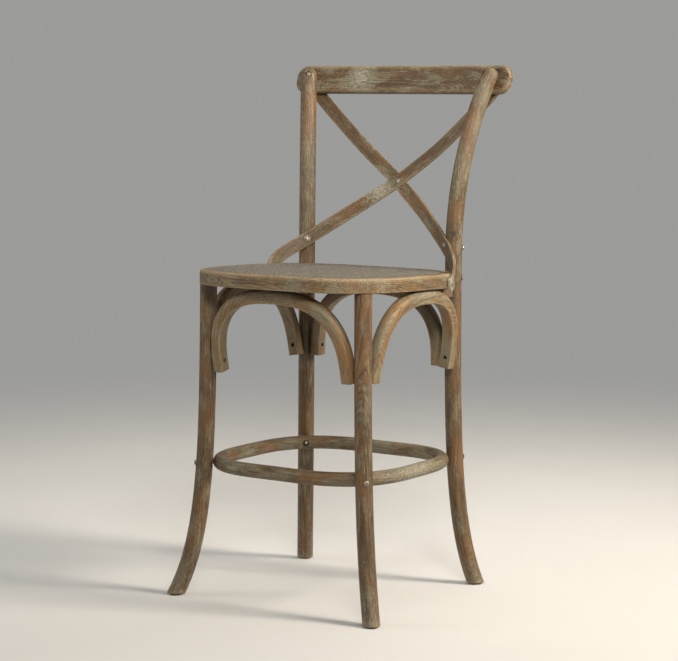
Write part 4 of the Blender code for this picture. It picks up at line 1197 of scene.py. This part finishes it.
def washered(radius, height, shank, length, washer):
    """The same dome on a thin dished washer."""
    crown = dome_head(radius, height, shank, length)
    return [(r, z + 0.0003 if z > BED else z) for r, z in crown[:-4]] + [
        (radius * 0.98, 0.0011), (washer - 0.0012, 0.0011), (washer - 0.0003, 0.0009),
        (washer, 0.0006), (washer - 0.0002, 0.0003), (shank, 0.0003), *crown[-2:]]


def slot_cut(radius, depth, top):
    """A screwdriver cross for a head whose top is at this height."""
    long, wide = radius * 0.62, radius * 0.15
    outline = []
    for k in range(4):
        turn = Matrix.Rotation(0.4 + pi / 2 * k, 3, "Z")
        outline += [turn @ Vector(p) for p in ((long, -wide, 0), (long, wide, 0), (wide, wide, 0))]
    rows = [[p + Z * z for p in outline] for z in (top - depth, top + depth)]
    return as_tool(skin(rows))


def crossed_dome(radius, height, shank, length):
    """A dome-headed screw with a screwdriver cross."""
    return boolean(turned(dome_head(radius, height, shank, length)),
                   [slot_cut(radius - 0.0006, 0.0010, height)])


def sunk_screw(head_r, shank, length):
    """Countersunk head with a cross, and a pointed shank with rings for its thread."""
    profile = [(0, 0), (head_r - 0.0003, 0), (head_r, -0.0002), (head_r, -0.0006),
               (shank, -head_r)]
    turns = int((length - 0.004 - head_r) / 0.0011)
    for i in range(turns):
        z = -head_r - 0.0011 * (i + 0.5)
        profile += [(shank, z + 0.0003), (shank * 0.78, z), (shank, z - 0.0003)]
    profile += [(shank * 0.8, -length + 0.003), (0, -length)]
    return boolean(turned(profile, 28), [slot_cut(head_r * 1.25, 0.0011, 0.0)])


def cap_nut():
    dome = [(0.0048 * sin(pi / 2 * k / 9), 0.0030 + 0.0045 * cos(pi / 2 * k / 9)) for k in range(10)]
    return turned(dome + [(0.0048, 0.0014), (0.0060, 0.0011), (0.0060, GAP + 0.0001),
                          (0.0058, GAP), (BOLT_R + GAP, GAP), (BOLT_R + GAP, 0.0040), (0, 0.0040)])


def side_name(point):
    return "left" if point[0] > 0 else "right"


def depth_name(point):
    return "back" if point[1] > 0 else "front"


def corner_name(point):
    return depth_name(point) + "_" + side_name(point)


def add_each(piece, node, master, places, slot, namer=side_name, sharp=34):
    """A copy of one fastener at each place, +Z along the place's direction."""
    for point, direction in places:
        label = "_" + namer(point) if namer else ""
        mesh = master.copy()
        mesh.transform(pose(point, direction))
        add_piece(piece + label, mesh, slot, node + label, sharp=sharp)


def reversed_places(places):
    return [(p, -d) for p, d in places]


def past(places, distance):
    """The same places, moved along their directions."""
    return [(p + d * distance, d) for p, d in places]


def ring_bolt_places():
    """Where each ring bolt's head sits off the leg, and its way in. The back pair point more
    to the front than to the ring's middle."""
    out = []
    for axis in (front_leg_axis, back_post_axis):
        point = axis(RING_Z)
        turn = RING_BOLT_TURN if point.y > 0 else 1.0
        inward = Vector((-point.x * turn, -point.y, 0)).normalized()
        out.append((point - inward * (ROUND_R + BED), inward))
    return mirrored(out)


def add_arch_screws():
    screw = sunk_screw(ARCH_SCREW_HEAD_R, SCREW_R, ARCH_SCREW_LENGTH)
    for arch in ARCHES:
        feet = arch.foot_screws()
        ends = side_name if abs(feet[0][1].x) > 0.5 else depth_name
        for places, namer in ((feet, ends), ([arch.top_screw()], lambda p: "top")):
            add_each(arch.name + "_fixing", arch.name + "_screw", screw,
                     [(p + d * SINK, -d) for p, d in places], "screw_steel", namer)


def add_glides():
    profile = [(0, 0.018), (0.0016, 0.018), (0.0016, FOOT_Z - GAP), (0.0110, FOOT_Z - GAP),
               (0.0115, FOOT_Z - GAP - 0.0002), (0.0120, 0.0016), (0.0119, 0.0009),
               (0.0114, 0.0003), (0.0106, 0), (0, 0)]
    master = turned(profile, 48)
    for row, axis in (("front", front_leg_axis), ("back", back_post_axis)):
        places = mirrored([(axis(0.0) * Vector((1, 1, 0)), Z)])
        add_each("foot_glide_" + row, "glide_" + row, master, places, "glide")


def lap_tools():
    """The two cutters of the straps' half lap, which meet at the rear strap's middle."""
    near = ((ROW_CROSS - 1) * STRAP_STEPS - 4, (ROW_CROSS + 1) * STRAP_STEPS + 5)
    wide = STRAP_W + 2 * GAP
    behind = strap_solid(1, GAP / 2, 0.012, wide, near)
    front = strap_solid(-1, 0.012, 0.012, wide, near)
    level = strap_solid(1, 0.012, GAP / 2, wide * 1.8, near)
    return as_tool(behind), as_tool(boolean(front, [level], "INTERSECT"))


def add_straps():
    half_t = STRAP_T / 2
    behind, front = lap_tools()
    marks = {-1: ("front", Stick(51, (0.020, 0.030), (0.02, 0.0)), behind),
             1: ("rear", Stick(52, (0.024, 0.030), (0.03, 0.0)), front)}
    pale = strap_at(ROW_CROSS)[0] + Vector((-0.035, -0.010, -0.020))
    for side, (word, stick, tool) in marks.items():
        tip = strap_frames(side)[0][0]
        mesh = strap_solid(side, half_t, half_t, STRAP_W, radius=0.0013, stick=stick,
                           age=lambda p, s: 0.75 * bell((p - pale).length / 0.035)
                           + 0.95 * bell((p - tip).length / 0.028))
        add_piece("strap_" + word, boolean(mesh, [tool]), "strap_wood", "back_strap_" + word)


def add_ring_bolts(bolts, through):
    bolt = turned(dome_head(*RING_HEAD, BOLT_R, through + NUT_GRIP))
    add_each("ring_dome_bolt", "ring_bolt", bolt, reversed_places(bolts), "bolt_steel", corner_name)
    add_each("ring_sunk_nut", "ring_nut", cap_nut(), past(bolts, through), "nut_steel", corner_name)


def add_back_fasteners(rail_screws):
    """What holds the posts, straps and rail, from the seat up."""
    half_t = STRAP_T / 2
    away = Vector((0.60, 0.80, 0))
    post_mid = back_post_axis(SEAT_Z + SEAT_SLOPE * BACK_POST[1] + SEAT_THICK / 2)
    add_each("seat_dome_bolt", "seat_bolt", turned(dome_head(*SEAT_BOLT)),
             mirrored([(post_mid + away * ROUND_R, away)]), "bolt_steel")
    centre, back = strap_at(END_SCREW_ROW)
    add_each("strap_low_screw", "strap_end_screw", crossed_dome(*END_SCREW),
             mirrored([(centre + back * half_t, back)]), "screw_steel")
    screw = sunk_screw(0.0042, BOLT_R, RAIL_SCREW_LENGTH)
    add_each("rail_fixing", "rail_screw", screw,
             [(p + d * RAIL_SCREW_SINK, -d) for p, d in rail_screws], "screw_steel")

    centre, back = strap_at(ROW_POST)
    places = mirrored([(centre - back * half_t, back)])
    start, way = places[0]
    through = (back_post_axis(start.z) - start).dot(way) + ROUND_R + 0.0012
    bolt = turned(washered(*POST_HEAD, BOLT_R, through + NUT_GRIP, POST_WASHER_R))
    add_each("strap_dome_bolt", "strap_post_bolt", bolt, reversed_places(places), "bolt_steel")
    add_each("strap_nut", "strap_cap_nut", cap_nut(), past(places, through), "nut_steel")

    centre, back = strap_at(ROW_CROSS)
    places = [(centre - back * half_t, back)]
    bolt = turned(washered(*CROSS_HEAD, BOLT_R, STRAP_T + CROSS_NUT_GRIP, CROSS_WASHER_R))
    add_each("crossing_bolt", "cross_bolt", bolt, reversed_places(places), "bolt_steel", None)
    add_each("crossing_nut", "cross_cap_nut", cap_nut(), past(places, STRAP_T + BED), "nut_steel",
             None)
    centre, back = strap_at(TOP_SCREW_ROW)
    add_each("strap_high_screw", "strap_top_screw", crossed_dome(*TOP_SCREW),
             mirrored([(centre + back * half_t, back)]), "screw_steel")


def add_all():
    half_t = STRAP_T / 2
    bolts = ring_bolt_places()
    through = 2 * ROUND_R + GAP + 2 * RING_TUBE_R - RING_NUT_DEEP
    posts = {side: post_tool(side) for _, side in SIDES}
    beds = {side: as_tool(strap_solid(side, half_t + BED, half_t + BED, STRAP_W + 2 * BED))
            for _, side in SIDES}

    spot = back_post_axis(RAIL_SCREW_Z)
    inward = Vector((sin(RAIL_SCREW_TOE), cos(RAIL_SCREW_TOE) * cos(RAIL_RAKE),
                     -cos(RAIL_SCREW_TOE) * sin(RAIL_RAKE)))
    rail_screws = mirrored([(spot - inward * ROUND_R, inward)])
    rail_wells = bore(rail_screws, RAIL_WELL_R, CUT_SPARE, RAIL_WELL)

    add_front_legs()
    add_back_posts(beds, rail_wells)
    add_ring(bolts, through)
    add_arches()

    leg_x, leg_y, _ = front_leg_axis(SEAT_Z)
    leg_top = seat_bottom(FRONT_LEG[1] + ROUND_R) - GAP
    mortises = bore([(Vector((leg_x * side, leg_y, leg_top)), Z) for _, side in SIDES],
                    TENON_R + GAP, CUT_SPARE, TENON_LEN + GAP)
    add_seat([mortises, *posts.values(), *beds.values()])
    add_cane()
    add_spline()
    add_corner_blocks(posts)
    add_straps()
    add_rail(posts.values())

    add_ring_bolts(bolts, through)
    add_arch_screws()
    add_back_fasteners(rail_screws)
    add_glides()


# ---------------------------------------------------------------- studio
AIR = (0.330, 0.330, 0.324)
FLOOR_HALF = 60.0
FLOOR_CLEAR = 1.2            # from here out the floor turns into air,
FLOOR_GONE = 4.2             # and from here it is only air


def add_floor():
    """A pale floor that melts into the studio's air well beyond the stool."""
    mesh = bpy.data.meshes.new("floor")
    far = FLOOR_HALF
    mesh.from_pydata([(-far, -far, 0), (far, -far, 0), (far, far, 0), (-far, far, 0)], [],
                     [(0, 1, 2, 3)])
    floor = link("studio_floor", mesh)
    t = Tree("studio_floor_paint")
    place = t.place()
    length = t.nodes.new("ShaderNodeVectorMath")
    length.operation = "LENGTH"
    t.put(length.inputs[0], place)
    melt = t.span(length.outputs["Value"], FLOOR_CLEAR, FLOOR_GONE)
    dust = t.noise(place, 3.0, 3)
    paint = t.mix(dust, (0.60, 0.595, 0.58), (0.64, 0.635, 0.62))
    t.put(t.shader.inputs["Emission Color"], (*AIR, 1.0))
    t.put(t.shader.inputs["Emission Strength"], melt)
    t.shader.inputs["Specular IOR Level"].default_value = 0.0
    mesh.materials.append(t.finish(t.mix(melt, paint, (0.0, 0.0, 0.0)), 0.85))
    # from below the floor is clear, so that the underside can be seen
    under = t.nodes.new("ShaderNodeMixShader")
    t.put(under.inputs[0], t.nodes.new("ShaderNodeNewGeometry").outputs["Backfacing"])
    t.links.new(t.shader.outputs[0], under.inputs[1])
    t.links.new(t.nodes.new("ShaderNodeBsdfTransparent").outputs[0], under.inputs[2])
    t.links.new(under.outputs[0], t.nodes["Material Output"].inputs["Surface"])


def add_light(name, spot, aim, size, watts, colour, spread=pi):
    lamp = bpy.data.lights.new(name, "AREA")
    lamp.shape = "RECTANGLE"
    lamp.size, lamp.size_y = size
    lamp.energy = watts
    lamp.color = colour
    lamp.spread = spread
    obj = link(name, lamp)
    obj.location = spot
    obj.rotation_euler = (Vector(aim) - Vector(spot)).to_track_quat("-Z", "Y").to_euler()


def add_studio():
    add_floor()
    world = bpy.data.worlds.new("studio")
    world.use_nodes = True
    background = world.node_tree.nodes["Background"]
    background.inputs[0].default_value = (*AIR, 1)
    background.inputs[1].default_value = 1.0
    bpy.context.scene.world = world
    add_light("key", (2.5, 0.55, 2.1), (0, 0, 0.6), (0.8, 1.2), 122, (1.0, 0.89, 0.76))
    add_light("back_light", (1.6, -1.9, 2.1), (0, 0.2, 0.95), (0.8, 0.8), 7.5, (1.0, 0.95, 0.86),
              radians(50))
    add_light("left_fill", (-2.5, -1.7, 1.5), (0, 0, 0.55), (0.9, 1.2), 22, (1.0, 0.97, 0.93))
    add_light("top", (0.3, 0.6, 2.9), (0, 0, 0.5), (1.6, 1.6), 14, (1.0, 0.97, 0.92))
    bpy.context.scene.view_settings.view_transform = "Standard"


def add_camera():
    """The photo's angle: 33 degrees round from the front, on the sitter's left."""
    spot = Vector((2.2694, -3.4226, 0.9676)) + SHIFT
    yaw, pitch, roll = 0.5822, 0.1079, 0.0075
    forward = Vector((-sin(yaw) * cos(pitch), cos(yaw) * cos(pitch), -sin(pitch)))
    right = Vector((cos(yaw), sin(yaw), 0))
    up = right.cross(forward)
    turn = Matrix((right * cos(roll) + up * sin(roll), up * cos(roll) - right * sin(roll),
                   -forward)).transposed().to_4x4()
    lens = bpy.data.cameras.new("camera")
    lens.sensor_width = 36.0
    lens.lens = 110.94
    camera = link("camera", lens)
    camera.matrix_world = Matrix.Translation(spot) @ turn
    bpy.context.scene.camera = camera


add_all()
add_studio()
add_camera()

bpy.context.view_layer.update()
